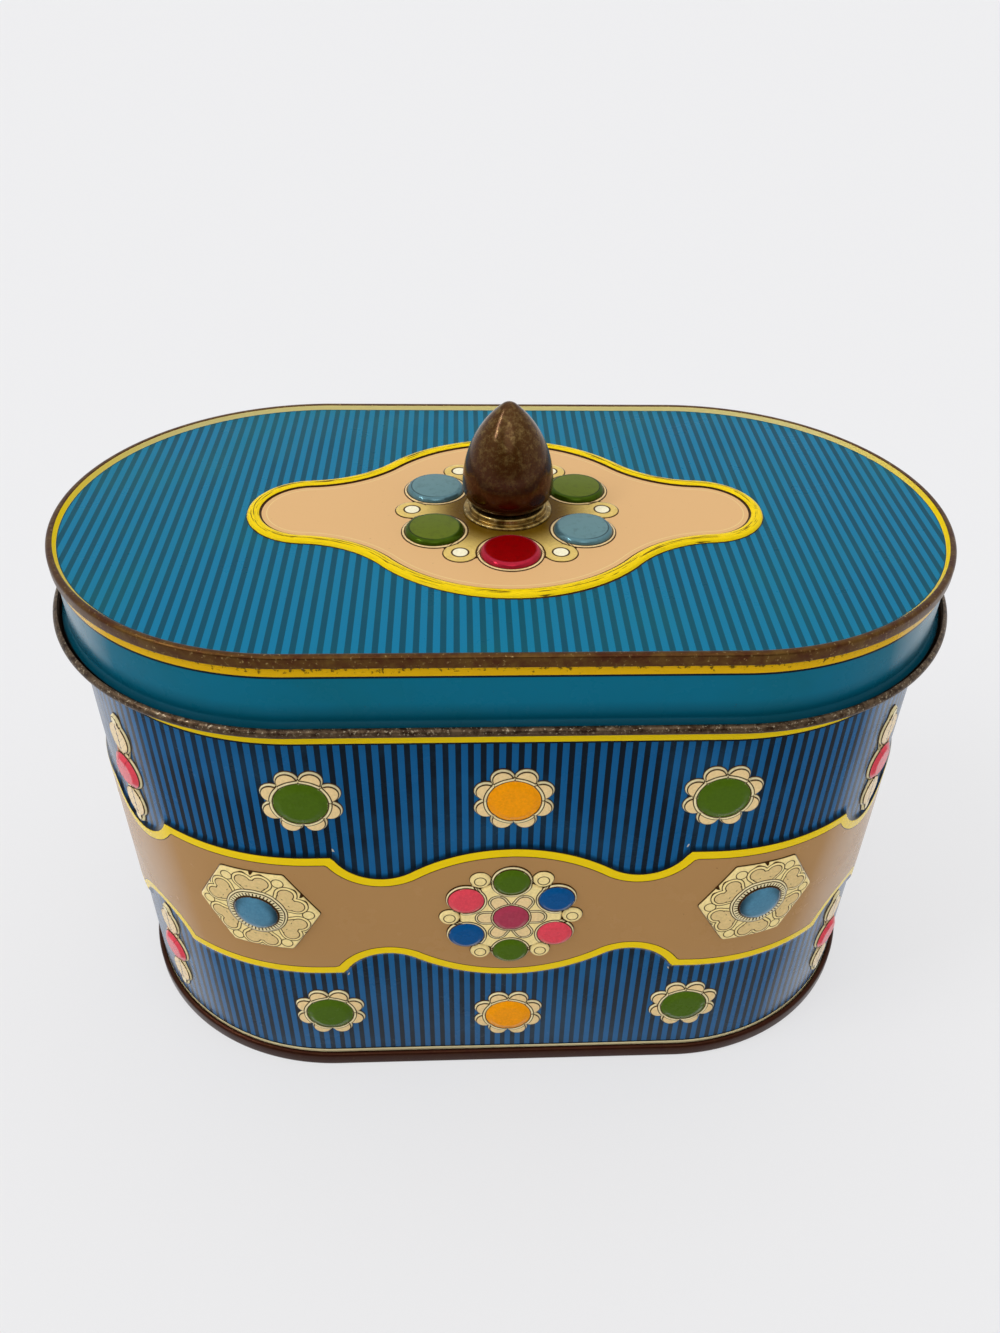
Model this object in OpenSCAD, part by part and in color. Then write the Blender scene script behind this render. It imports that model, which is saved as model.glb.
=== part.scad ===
// Oval tinplate canister with a lift-off slip lid and a brass finial knob.
// Millimetres. z = 0 is the edge that the canister stands on, +X runs along its length
// and the front faces -Y. Places on the wall are given as a distance along the wall
// from the middle of the long side, and a height.

/* [Body] */
// Distance between the centres of the two round ends
end_spacing = 93; // [70:0.5:140]
// Depth of the body across its long flat sides
body_depth = 116; // [96:0.5:150]
// Height of the body from its resting edge to its rim
body_h = 138.5; // [125:0.5:180]
// Thickness of the tinplate
sheet = 0.25; // [0.2:0.01:0.28]
// Outside diameter of the rolled rim
rim_curl_d = 2.4; // [1.6:0.1:3.2]
// Width of the lapped side seam, inside the back wall
lap_w = 6; // [3:0.5:10]
// Distance of the side seam from the middle of the back wall
lap_u = 24; // [12:1:36]

/* [Base seam] */
// Height of the base seam
base_seam_h = 4.5; // [3.5:0.1:6]
// How far the base seam stands out from the wall
base_seam_out = 1.5; // [1.2:0.05:2.2]
// Height of the base panel above the resting edge
base_recess = 3.2; // [2:0.1:4]
// Clearance between the folded layers of a seam
seam_clear = 0.1; // [0.05:0.01:0.15]

/* [Lid] */
// Height of the lid from its curled edge to its ridge
lid_h = 19.4; // [14:0.1:30]
// Clearance between the wall and the lid skirt
lid_gap = 0.8; // [0.3:0.05:1.2]
// Clearance between the rim and the lid panel that rests on it
lid_seat = 0.3; // [0.2:0.05:0.5]
// Depth of the lid panel below the ridge
lid_recess = 1.1; // [0.8:0.1:2.2]
// Height of the ridge seam
lid_seam_h = 3; // [2.4:0.1:5]
// How far the ridge seam stands out from the skirt
lid_seam_out = 0.9; // [0.86:0.01:1.6]
// Outside diameter of the curled lower edge
bead_d = 2.3; // [1.8:0.1:4]
// How far the skirt flares out above the curl
bead_flare = 1.3; // [0.3:0.1:1.6]

/* [Embossed band] */
// Height of the band's middle
band_z = 60.9; // [55:0.1:66]
// Half height of the band along its straight stretches
band_half = 21.1; // [18:0.1:24]
// Half height of the band at its bulged middle
bulge_half = 23; // [20:0.1:26]
// Half height of the band at its dips
dip_half = 13.6; // [10:0.1:16]
// Radius of the bulge
bulge_r = 42; // [34:0.5:60]
// Radius of the dips
dip_r = 12.2; // [9:0.1:15]
// Place of the dips on the round ends
end_dip_u = 95.6; // [90:0.1:105]
// How far the band stands out from the wall
band_rise = 0.8; // [0.4:0.1:1.2]

/* [Embossed ornament] */
// How far an ornament's plate stands out from what it lies on
plate_rise = 0.8; // [0.4:0.1:1.2]
// Outer radius of a flower
flower_r = 9.6; // [7:0.1:12]
// Number of petals of a flower
petals = 8; // [5:1:12]
// Size of a petal as a multiple of petals that only touch
petal_overlap = 1.08; // [1:0.01:1.2]
// Radius of a flower's jewel
flower_jewel_r = 6; // [4:0.1:7]
// Place of the side flowers along the long wall
flower_u = 47; // [36:0.5:56]
// Height of the upper flowers
flower_top_z = 99.5; // [95:0.1:106]
// Height of the lower flowers
flower_low_z = 22.8; // [17:0.1:25]
// Height of the lower flower under the bulge
flower_bulge_z = 20.4; // [16:0.1:24]
// Ring radius of the jewel cluster
cluster_r = 12.6; // [11:0.1:14]
// Radius of a cluster jewel
cluster_jewel_r = 4.7; // [3.5:0.1:5.5]
// Ring radius of the cluster's outer lobes
cluster_lobe_ring_r = 15; // [13:0.1:17]
// Radius of a cluster lobe
cluster_lobe_r = 2.7; // [2:0.1:3.5]
// Circumscribed radius of a hexagonal plaque
plaque_r = 15.5; // [12:0.1:18]
// Place of the plaques along the wall
plaque_u = 61.1; // [58:0.1:70]
// Height of the plaques
plaque_z = 63.1; // [58:0.1:66]
// Radius of a plaque's cabochon
cabochon_r = 5.4; // [4:0.1:7]
// Rise of a cabochon above its upright edge
cabochon_rise = 1.7; // [1:0.1:3]
// Height of the middle of the upper end ornaments
end_top_z = 92.3; // [90:0.1:97]
// Height of the middle of the lower end ornaments
end_low_z = 27.5; // [24:0.1:30]
// Radius of an end ornament's jewel
end_jewel_r = 5; // [4:0.1:6]
// Width of the rim about an end ornament's jewel
end_rim_w = 0.6; // [0.3:0.1:1]
// Length of an end ornament's leaf
leaf_l = 10; // [7:0.5:12]
// Width of an end ornament's leaf
leaf_w = 8.6; // [6:0.1:9]
// Radius of the bud at the tip of a leaf
bud_r = 2; // [1.4:0.1:2.4]
// Rise of a jewel's dome above its upright edge
jewel_rise = 0.6; // [0.4:0.1:1.2]
// Height of the upright edge of a jewel or cabochon above its plate
jewel_edge = 0.1; // [0.05:0.05:0.3]

/* [Lid cartouche] */
// Radius of the cartouche's round middle
cartouche_r = 38; // [34:0.5:44]
// Radius of the cartouche's noses
nose_r = 15; // [12:0.5:18]
// Place of the noses' centres along the lid
nose_x = 46.8; // [40:0.2:56]
// Radius of the hollow between the middle and a nose
hollow_r = 26; // [18:0.5:40]
// Width of the raised border
border_w = 3.2; // [2:0.1:5]
// How far the border stands out from the lid panel
border_rise = 1; // [0.5:0.1:1.4]
// How far the field inside the border stands out from the lid panel
field_rise = 0.4; // [0.2:0.1:0.8]
// Ring radius of the lid jewels
lid_ring_r = 20; // [19:0.1:22]
// Radius of a lid jewel
lid_jewel_r = 7.3; // [6:0.1:8]
// Rise of a lid jewel above the field
lid_jewel_rise = 1.5; // [0.8:0.1:2]
// Ring radius of the small lobes between the lid jewels
lid_lobe_ring_r = 23.4; // [22:0.1:25]
// Radius of a lid lobe
lid_lobe_r = 3.7; // [3:0.1:4.2]
// Rise of a lid lobe above the field
lid_lobe_rise = 0.4; // [0.2:0.1:0.8]

/* [Knob] */
// Height of the knob above the lid field
knob_h = 27.2; // [22:0.2:36]
// Largest radius of the knob
knob_r = 10.7; // [9:0.1:11.5]
// Height of the widest place above the lid field
knob_wide_z = 9.3; // [8:0.1:12]
// Radius of the knob where it meets the collar
knob_foot_r = 7.4; // [6.5:0.1:8]
// Radius of the knob's rounded tip
knob_tip_r = 2.4; // [1.5:0.1:3]
// How far up its rounded tip the knob's side ends, in degrees
tip_turn = 37; // [20:1:60]
// Wall of the hollow knob
knob_wall = 0.6; // [0.4:0.05:1]
// Outer radius of the collar
collar_r = 10.6; // [9:0.1:11.5]
// Height of the collar's lower step
collar_step_h = 1; // [0.6:0.1:1.5]
// Height of the whole collar
collar_h = 2.4; // [2:0.1:3]
// Radius of the collar's upper step
collar_top_r = 9.2; // [8.4:0.1:10]
// Height of the collar's spigot inside the knob
spigot_h = 1.6; // [1:0.1:3]
// Clearance of the spigot in the knob's mouth
spigot_clear = 0.5; // [0.2:0.05:0.8]
// Radius of the stud
stud_r = 2.5; // [2:0.1:3]
// Clearance of the stud in its holes
stud_clear = 0.2; // [0.1:0.05:0.3]
// Radius of the stud's head
stud_head_r = 4.6; // [4:0.1:5.5]
// Height of the stud's head
stud_head_h = 2; // [1.5:0.1:3]
// Radius of the washer
washer_r = 7; // [6:0.1:9]
// Thickness of the washer
washer_t = 0.8; // [0.5:0.1:1.2]
// Width of the nut across its flats
nut_flats = 8; // [7.5:0.1:10]
// Thickness of the nut
nut_t = 4; // [3:0.1:5]
// Clearance between the stud and the nut's bore
thread_clear = 0.05; // [0.02:0.01:0.1]
// Length of the stud below the nut
stud_tail = 1; // [0.5:0.1:2]

/* [Hidden] */
$fn = 96;
half = end_spacing / 2;
wall_r = body_depth / 2;
quarter_u = half + wall_r * PI / 2;
lid_top = body_h + lid_seat + sheet + lid_recess;
lid_foot = lid_top - lid_h;
panel_top = lid_top - lid_recess;
field_top = panel_top + field_rise;
skirt_in = wall_r + lid_gap;
skirt_out = skirt_in + sheet;
// Radius by which a relief is rooted in the sheet
root = sheet / 2;
// Depth of the prisms that are cut to the wall's curve
reach = 8;
// How far a cut reaches past what it cuts
past = 1;
// Layers of sheet that a seam folds outside the wall
seam_layers = 3;
// Thickness of the lapped side seam, two layers of sheet
lap_t = 2 * sheet;
// Jewels of a cluster stand at even turns, with lobes halfway between them
jewels = 6;
jewel_turn = 360 / jewels;
// The bulge and the dips touch, which places the dips along the wall
dip_z = dip_half + dip_r;
bulge_z = bulge_half - bulge_r;
dip_u = sqrt(pow(bulge_r + dip_r, 2) - pow(dip_z - bulge_z, 2));
touch_u = dip_u * bulge_r / (bulge_r + dip_r);
// How far a hollow cuts into the cartouche's middle and nose, so that the arcs cross
hollow_bite = 0.02;
// Centre of the hollow between the cartouche's middle and a nose
mid_reach = cartouche_r + hollow_r;
nose_reach = nose_r + hollow_r;
hollow_x = (pow(mid_reach, 2) - pow(nose_reach, 2) + pow(nose_x, 2)) / (2 * nose_x);
hollow_y = sqrt(pow(mid_reach, 2) - pow(hollow_x, 2));
// Side arc of the knob: upright at the widest place, meeting the tip
tip_run = knob_r - knob_tip_r * cos(tip_turn);
tip_climb = knob_h - knob_tip_r * (1 - sin(tip_turn)) - knob_wide_z;
side_r = (pow(tip_run, 2) + pow(tip_climb, 2)) / (2 * tip_run);
// Foot arc of the knob: upright at the widest place, meeting the collar
foot_run = knob_r - knob_foot_r;
foot_drop = knob_wide_z - collar_h;
foot_r = (pow(foot_run, 2) + pow(foot_drop, 2)) / (2 * foot_run);
spigot_r = knob_foot_r - knob_wall - spigot_clear;

// Outline of the canister seen from above, with round ends of radius r
module plan(r) {
    translate([-half, -r]) square([end_spacing, 2 * r]);
    for (side = [-1, 1]) translate([side * half, 0]) circle(r);
}

// Prism of the plan between two heights
module plan_slab(r, low, high) {
    translate([0, 0, low]) linear_extrude(high - low) plan(r);
}

// Tube of the plan between two radii and two heights
module plan_ring(r_out, r_in, low, high) {
    translate([0, 0, low]) linear_extrude(high - low) difference() {
        plan(r_out);
        plan(r_in);
    }
}

// Section, with x as the radius of the round ends, carried once round the plan
module around_plan() {
    for (turn = [0, 180]) rotate(turn) {
        translate([-half, 0, 0]) rotate([90, 0, 90]) linear_extrude(end_spacing) children();
        translate([half, 0, 0]) rotate(-90) rotate_extrude(angle = 180) children();
    }
}

// Rectangle between two radii and two heights of a section
module layer(r_in, r_out, low, high) {
    translate([r_in, low]) square([r_out - r_in, high - low]);
}

// Section of an end plate's edge: down the inside of the wall, out, up and hooked in.
// face is the wall's outer radius, and heights run from the seam's outer edge
module seam_cover(face, out, h, recess) {
    inner = face - sheet - seam_clear;
    step = (out - seam_layers * sheet) / seam_layers;
    layer(inner - sheet, inner, 0, recess + sheet);
    layer(inner - sheet, face + out, 0, sheet);
    layer(face + out - sheet, face + out, 0, h);
    layer(face + step, face + out, h - sheet, h);
    layer(face + step, face + step + sheet, 2 * (sheet + seam_clear), h);
}

// Section of the wall's edge that hooks into the seam
module seam_hook(face, out, h) {
    step = (out - seam_layers * sheet) / seam_layers;
    hook = face + 2 * step + sheet;
    low = sheet + seam_clear;
    layer(face - sheet, face, low, h);
    layer(face - sheet, hook + sheet, low, low + sheet);
    layer(hook, hook + sheet, low, h - sheet - seam_clear);
}

// Section of a sheet edge rolled through three quarters of a turn, open at one quarter
module curl(d, open_x, open_y) {
    difference() {
        circle(d = d);
        circle(d = d - 2 * sheet);
        translate([open_x > 0 ? 0 : -d, open_y > 0 ? 0 : -d]) square(d);
    }
}

// Puts its children on the wall, upright and facing outwards
module on_wall(u, z) {
    over = max(abs(u) - half, 0) / wall_r * 180 / PI;
    translate([sign(u) * min(abs(u), half), 0, z]) rotate(sign(u) * over)
        translate([0, -wall_r, 0]) rotate([90, 0, 0]) children();
}

// Prism of an outline, deep enough to be cut to the wall's curve
module outline_on_wall(u, z) {
    on_wall(u, z) translate([0, 0, -reach / 2]) linear_extrude(reach) children();
}

// Keeps what stands out from the wall by at most the given rise
module relief(rise) {
    intersection() {
        plan_ring(wall_r + rise, wall_r - root, base_seam_h, lid_foot);
        union() children();
    }
}

// The front and the back of the canister are alike
module both_faces() {
    for (turn = [0, 180]) rotate(turn) children();
}

// Disc rooted in the sheet, with an upright side up to its edge and a domed top
module dome(r, edge, rise) {
    ball = (r * r + rise * rise) / (2 * rise);
    rotate_extrude() {
        translate([0, -root]) square([r, edge + root]);
        intersection() {
            translate([0, edge + rise - ball]) circle(ball);
            translate([0, edge - root]) square([r, rise + root]);
        }
    }
}

// Outline of a flower: a ring of round petals about a disc
module flower_outline() {
    petal_r = petal_overlap * flower_r * sin(180 / petals) / (1 + sin(180 / petals));
    circle(flower_r - petal_r);
    for (i = [0 : petals - 1]) rotate((i + 0.5) * 360 / petals)
        translate([flower_r - petal_r, 0]) circle(petal_r);
}

// Outline of the jewel cluster: jewels on a ring, and lobes between them
module cluster_outline() {
    circle(cluster_r);
    for (i = [0 : jewels - 1]) {
        rotate((i + 0.5) * jewel_turn) translate([cluster_r, 0]) circle(cluster_jewel_r);
        rotate(i * jewel_turn) translate([cluster_lobe_ring_r, 0]) circle(cluster_lobe_r);
    }
}

// Outline of an end ornament: a jewel with a leaf and a bud above and below it
module end_outline() {
    arc_r = (pow(leaf_l / 2, 2) + pow(leaf_w / 2, 2)) / leaf_w;
    circle(end_jewel_r + end_rim_w);
    for (up = [-1, 1]) {
        translate([0, up * (end_jewel_r + leaf_l / 2)]) intersection_for(side = [-1, 1])
            translate([side * (arc_r - leaf_w / 2), 0]) circle(arc_r);
        translate([0, up * (end_jewel_r + leaf_l)]) circle(bud_r);
    }
}

// Bulged middle of the band, between its two dips
module bulge_outline() {
    intersection() {
        translate([0, bulge_z]) circle(bulge_r);
        translate([0, -bulge_z]) circle(bulge_r);
        square([2 * touch_u, 4 * bulge_half], center = true);
    }
}

// Raised band round the canister, with dips beside its bulges and on the round ends
module band() {
    relief(band_rise) {
        difference() {
            plan_slab(wall_r + reach, band_z - band_half, band_z + band_half);
            both_faces() for (side = [-1, 1], up = [-1, 1]) {
                outline_on_wall(side * dip_u, band_z + up * dip_z) circle(dip_r);
                outline_on_wall(side * end_dip_u, band_z + up * dip_z) circle(dip_r);
            }
            both_faces() outline_on_wall(0, band_z) square([2 * touch_u, 4 * bulge_half], center = true);
        }
        both_faces() outline_on_wall(0, band_z) bulge_outline();
    }
}

// Flowers in the striped fields above and below the band
module flowers() {
    upper = [for (u = [-flower_u, 0, flower_u, quarter_u]) [u, flower_top_z]];
    lower = [for (u = [-flower_u, flower_u, quarter_u]) [u, flower_low_z]];
    places = concat(upper, lower, [[0, flower_bulge_z]]);
    both_faces() for (place = places) {
        relief(plate_rise) outline_on_wall(place[0], place[1]) flower_outline();
        on_wall(place[0], place[1]) dome(flower_jewel_r, plate_rise + jewel_edge, jewel_rise);
    }
}

// Jewel cluster in the bulge of the band
module clusters() {
    level = band_rise + plate_rise;
    edge = level + jewel_edge;
    both_faces() {
        relief(level) outline_on_wall(0, band_z) cluster_outline();
        on_wall(0, band_z) {
            dome(cluster_jewel_r, edge, jewel_rise);
            for (i = [0 : jewels - 1]) rotate((i + 0.5) * jewel_turn) translate([cluster_r, 0, 0])
                dome(cluster_jewel_r, edge, jewel_rise);
        }
    }
}

// Hexagonal plaques with a cabochon, on the band
module plaques() {
    level = band_rise + plate_rise;
    both_faces() for (u = [-plaque_u, plaque_u, quarter_u]) {
        relief(level) outline_on_wall(u, plaque_z) circle(plaque_r, $fn = 6);
        on_wall(u, plaque_z) dome(cabochon_r, level + jewel_edge, cabochon_rise);
    }
}

// Jewels with leaves, in the dips of the band on the round ends
module end_ornaments() {
    both_faces() for (u = [-end_dip_u, end_dip_u], z = [end_top_z, end_low_z]) {
        relief(plate_rise) outline_on_wall(u, z) end_outline();
        on_wall(u, z) dome(end_jewel_r, plate_rise + jewel_edge, jewel_rise);
    }
}

// One-piece wrapper: hooked foot, rolled rim, lapped side seam and embossing
module body_wall() {
    color("steelblue") {
        around_plan() {
            seam_hook(wall_r, base_seam_out, base_seam_h);
            layer(wall_r - sheet, wall_r, base_seam_h - sheet, body_h - rim_curl_d / 2);
            translate([wall_r - rim_curl_d / 2, body_h - rim_curl_d / 2]) curl(rim_curl_d, 1, -1);
        }
        translate([-lap_u - lap_w / 2, wall_r - sheet - lap_t, base_recess + base_seam_h])
            cube([lap_w, lap_t + root, body_h - rim_curl_d - base_recess - base_seam_h]);
        band();
        flowers();
        clusters();
        plaques();
        end_ornaments();
    }
}

// Sunken base panel whose edge is seamed over the wall's foot
module base_plate() {
    panel_r = wall_r - sheet - seam_clear;
    color("tan") {
        around_plan() seam_cover(wall_r, base_seam_out, base_seam_h, base_recess);
        plan_slab(panel_r, base_recess, base_recess + sheet);
    }
}

// Lid skirt: hooked at its top into the ridge seam, flared and curled at its foot
module lid_skirt() {
    curl_x = skirt_in + bead_flare + bead_d / 2;
    curl_z = lid_foot + bead_d / 2;
    flare_z = curl_z + bead_flare;
    color("teal") around_plan() {
        translate([0, lid_top]) mirror([0, 1]) seam_hook(skirt_out, lid_seam_out, lid_seam_h);
        layer(skirt_in, skirt_out, flare_z, lid_top - lid_seam_h + sheet);
        polygon([[skirt_in, flare_z], [skirt_out, flare_z],
                 [skirt_out + bead_flare, curl_z], [skirt_in + bead_flare, curl_z]]);
        translate([curl_x, curl_z]) curl(bead_d, -1, 1);
    }
}

// Outline of the cartouche, grown by the given amount
module cartouche(grow) {
    difference() {
        union() {
            circle(cartouche_r + grow);
            for (side = [-1, 1]) {
                translate([side * nose_x, 0]) circle(nose_r + grow);
                for (up = [-1, 1]) polygon([[0, 0], [side * nose_x, 0], [side * hollow_x, up * hollow_y]]);
            }
        }
        for (side = [-1, 1], up = [-1, 1])
            translate([side * hollow_x, up * hollow_y]) circle(hollow_r - grow + hollow_bite);
    }
}

// Sunken lid panel: ridge seam, embossed cartouche, jewels and the stud's hole
module lid_panel() {
    panel_r = skirt_in - seam_clear;
    hole_r = stud_r + stud_clear;
    color("cadetblue") difference() {
        union() {
            around_plan() translate([0, lid_top]) mirror([0, 1])
                seam_cover(skirt_out, lid_seam_out, lid_seam_h, lid_recess);
            plan_slab(panel_r, panel_top - sheet, panel_top);
            translate([0, 0, panel_top - root]) {
                linear_extrude(field_rise + root) cartouche(-border_w / 2);
                linear_extrude(border_rise + root) difference() {
                    cartouche(0);
                    cartouche(-border_w);
                }
            }
            translate([0, 0, field_top]) for (i = [0 : jewels - 1]) {
                rotate((i + 0.5) * jewel_turn) translate([lid_ring_r, 0, 0])
                    dome(lid_jewel_r, lid_jewel_rise / 2, lid_jewel_rise / 2);
                rotate(i * jewel_turn) translate([lid_lobe_ring_r, 0, -root])
                    cylinder(r = lid_lobe_r, h = lid_lobe_rise + root);
            }
        }
        translate([0, 0, panel_top - sheet - past]) cylinder(r = hole_r, h = sheet + field_rise + 2 * past);
    }
}

// Stepped brass collar under the knob, with a spigot inside the knob's mouth
module knob_collar() {
    color("goldenrod") translate([0, 0, field_top]) rotate_extrude() difference() {
        union() {
            square([collar_r - collar_step_h / 2, collar_step_h]);
            translate([collar_r - collar_step_h / 2, collar_step_h / 2]) circle(d = collar_step_h);
            square([collar_top_r, collar_h]);
            square([spigot_r, collar_h + spigot_h]);
        }
        translate([-past, -past]) square([stud_r + stud_clear + past, collar_h + spigot_h + 2 * past]);
    }
}

// Half section of the knob, drawn inwards by the given amount
module knob_section(inset) {
    intersection() {
        union() {
            intersection() {
                translate([knob_r - side_r, knob_wide_z]) circle(side_r - inset);
                translate([0, knob_wide_z]) square([knob_r, tip_climb]);
            }
            intersection() {
                translate([knob_r - foot_r, knob_wide_z]) circle(foot_r - inset);
                translate([0, collar_h]) square([knob_r, foot_drop]);
            }
            translate([0, knob_h - knob_tip_r]) circle(knob_tip_r - inset);
        }
        translate([0, collar_h]) square([knob_r, knob_h]);
    }
}

// Hollow pressed knob, pointed like an acorn
module knob_shell() {
    color("saddlebrown") translate([0, 0, field_top]) rotate_extrude() difference() {
        knob_section(0);
        knob_section(knob_wall);
    }
}

// Stud with a head inside the knob, through the collar, the lid, the washer and the nut
module knob_stud() {
    head_z = field_top + collar_h + spigot_h;
    foot_z = panel_top - sheet - washer_t - nut_t - stud_tail;
    color("darkkhaki") {
        translate([0, 0, foot_z]) cylinder(r = stud_r, h = head_z - foot_z + root);
        translate([0, 0, head_z]) cylinder(r = stud_head_r, h = stud_head_h);
    }
}

// Flat washer under the lid panel
module knob_washer() {
    color("silver") translate([0, 0, panel_top - sheet - washer_t]) difference() {
        cylinder(r = washer_r, h = washer_t);
        translate([0, 0, -past]) cylinder(r = stud_r + stud_clear, h = washer_t + 2 * past);
    }
}

// Hexagonal nut that clamps the knob to the lid
module knob_nut() {
    color("silver") translate([0, 0, panel_top - sheet - washer_t - nut_t]) difference() {
        cylinder(d = nut_flats / cos(30), h = nut_t, $fn = 6);
        translate([0, 0, -past]) cylinder(r = stud_r + thread_clear, h = nut_t + 2 * past);
    }
}

body_wall();
base_plate();
lid_skirt();
lid_panel();
knob_collar();
knob_shell();
knob_stud();
knob_washer();
knob_nut();
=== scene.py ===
"""Looks of an oval printed tin canister with a slip lid and a knob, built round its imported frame.

Sizes are in millimetres until a mesh is made. A place on the wall is a distance u along the wall from the
middle of the front, and a height z. Heights h of an ornament stand out from what carries it.
"""

import math

import bmesh
import bpy
import numpy as np
from mathutils import Matrix, Vector


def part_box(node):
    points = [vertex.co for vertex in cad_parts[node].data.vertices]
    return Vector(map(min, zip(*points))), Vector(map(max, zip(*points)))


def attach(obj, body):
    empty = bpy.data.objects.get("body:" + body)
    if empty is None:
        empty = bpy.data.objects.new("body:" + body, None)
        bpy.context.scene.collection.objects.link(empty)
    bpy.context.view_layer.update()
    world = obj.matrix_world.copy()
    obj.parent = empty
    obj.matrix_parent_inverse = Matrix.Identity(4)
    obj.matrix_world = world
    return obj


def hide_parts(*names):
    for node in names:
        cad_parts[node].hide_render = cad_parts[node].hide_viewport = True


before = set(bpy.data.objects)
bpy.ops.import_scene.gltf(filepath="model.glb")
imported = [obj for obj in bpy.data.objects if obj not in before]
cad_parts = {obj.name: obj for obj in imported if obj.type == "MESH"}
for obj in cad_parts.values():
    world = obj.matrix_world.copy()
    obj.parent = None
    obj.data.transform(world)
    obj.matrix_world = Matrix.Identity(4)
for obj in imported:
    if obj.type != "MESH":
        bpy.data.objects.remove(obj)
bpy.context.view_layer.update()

MM = 0.001


def corners(node):
    """Lowest and highest corner of a CAD node, in millimetres."""
    low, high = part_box(node)
    return np.array(low) / MM, np.array(high) / MM


# Sheet metal
SHEET = 0.25
BASE_SEAM_OUT = 1.5
BASE_SEAM_H = 4.5
BASE_RECESS = 3.2
RIM_CURL_R = 1.2
LID_H = 19.4
LID_RECESS = 1.1
RIDGE_H = 3
RIDGE_OUT = 0.9
RIDGE_SLOPE = 0.75
BEAD_R = 1.15
BEAD_FLARE = 1.3
LAP_U = 24
LAP_W = 6
NECK_Z = 119.8
FOLD_GAP = 0.1
UNEVEN = 0.05

# Sizes that the frame gives
base_corner = corners("base_plate")[1]
WALL_R = base_corner[1] - BASE_SEAM_OUT
HALF = base_corner[0] - base_corner[1]
PERIMETER = 4 * HALF + 2 * math.pi * WALL_R
RIM_Z = corners("body_wall")[1][2]
LID_FOOT = corners("lid_skirt")[0][2]
LID_TOP = LID_FOOT + LID_H
PANEL_Z = LID_TOP - LID_RECESS
FIELD_Z = corners("knob_collar")[0][2]
KNOB_H = corners("knob_shell")[1][2] - FIELD_Z
BEAD_OUT = corners("lid_skirt")[1][1]
SKIRT_R = BEAD_OUT - 2 * BEAD_R - BEAD_FLARE + SHEET / 2

# Embossed band round the wall
BAND_Z = 60.9
BAND_HALF = 21.1
BULGE_HALF = 23
BULGE_R = 42
DIP_HALF = 13.6
DIP_R = 12.2
END_DIP_U = 95.6
BAND_RISE = 0.8
BAND_SLOPE = 1.5
DIP_Z = DIP_HALF + DIP_R
BULGE_Z = BULGE_HALF - BULGE_R
DIP_U = math.sqrt((BULGE_R + DIP_R) ** 2 - (DIP_Z - BULGE_Z) ** 2)
TOUCH_U = DIP_U * BULGE_R / (BULGE_R + DIP_R)

# Ornaments on the wall
PLATE_RISE = 0.8
PLATE_SLOPE = 0.7
JEWEL_RISE = 0.7
FLOWER_R = 9.6
PETAL_TURN = math.pi / 4
PETAL_R = 1.08 * FLOWER_R * math.sin(PETAL_TURN / 2) / (1 + math.sin(PETAL_TURN / 2))
PETAL_RING = FLOWER_R - PETAL_R
FLOWER_U = 47
FLOWER_TOP_Z = 99.5
FLOWER_LOW_Z = 22.8
FLOWER_BULGE_Z = 20.4
PLAQUE_R = 15.5
PLAQUE_U = 61.1
PLAQUE_Z = 63.1
CABOCHON_R = 5.4
CABOCHON_RISE = 1.8
END_TOP_Z = 92.3
END_LOW_Z = 27.5
QUARTER_U = PERIMETER / 4

# Half the width of a drawn line, and a distance too far from a line to be drawn
LINE = 0.13
FAR = 9

# Cartouche on the lid
CARTOUCHE_R = 38
NOSE_R = 15
NOSE_X = 46.8
HOLLOW_R = 26
BORDER_W = 3.2
BORDER_RISE = 1
FIELD_RISE = 0.4
LID_JEWEL_RING = 20
LID_JEWEL_R = 6.9
LID_JEWEL_RISE = 1.5
LID_JEWEL_BEVEL = 1.05

# Knob
KNOB_R = 10.7
KNOB_WIDE_Z = 7.3
KNOB_FOOT_R = 7.4
KNOB_TIP_R = 2.6
COLLAR_R = 10.6
COLLAR_TOP_R = 9.2
COLLAR_STEP = 1
COLLAR_H = 2.4

# Printed stripes: a whole number of them goes round the wall
STRIPE = PERIMETER / 202
STRIPE_LIGHT = 0.53

# Gloss: size of its patches, index of varnish face on and edge on, and where it changes between them
PATCH = 14
DULL_IOR = 1.14
GLARE_IOR = 2
WALL_SHINE = (0.59, 0.78)
LID_SHINE = (0.67, 0.86)

# Inks and lacquers, as sRGB
INKS = {
    "stripe blue": "#0a5689",
    "stripe black": "#051521",
    "lid blue": "#0b7094",
    "lid black": "#06495d",
    "teal": "#046680",
    "yellow": "#ebca08",
    "skirt yellow": "#dcac06",
    "line brown": "#3b2206",
    "band tan": "#ac8351",
    "field tan": "#d8ad77",
    "cream": "#efe0ae",
    "petal": "#eed097",
    "gold": "#dcbe6c",
    "pale gold": "#f6df9a",
    "heart": "#e0c386",
    "dark gold": "#64480a",
    "pearl": "#f6eecb",
    "green": "#48640d",
    "orange": "#f69b03",
    "pink": "#df4856",
    "magenta": "#a83a50",
    "blue": "#054e88",
    "lid green": "#617010",
    "sky": "#688c90",
    "cabochon": "#4e829c",
    "red": "#a80206",
    # Bevel inks: the lid jewels' colours painted lighter (red) and darker (green, sky), as painted light and
    # shade on the bevels.
    "shaded bevel green": "#3c5208",
    "lit bevel red": "#ac2236",
    "shaded bevel sky": "#5c7f86",
}


def ink(name):
    """Linear red, green, blue and alpha of a named ink or an sRGB hex colour."""
    code = INKS.get(name, name)
    srgb = np.array([int(code[k:k + 2], 16) for k in (1, 3, 5)]) / 255
    rgb = np.where(srgb <= 0.04045, srgb / 12.92, ((srgb + 0.055) / 1.055) ** 2.4)
    return np.append(rgb, 1.0)


def smooth(low, high, value):
    """Rises from 0 at low to 1 at high with level ends: 3t squared less 2t cubed."""
    t = np.clip((value - low) / (high - low), 0, 1)
    return t * t * (3 - 2 * t)


# Meshes

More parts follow.
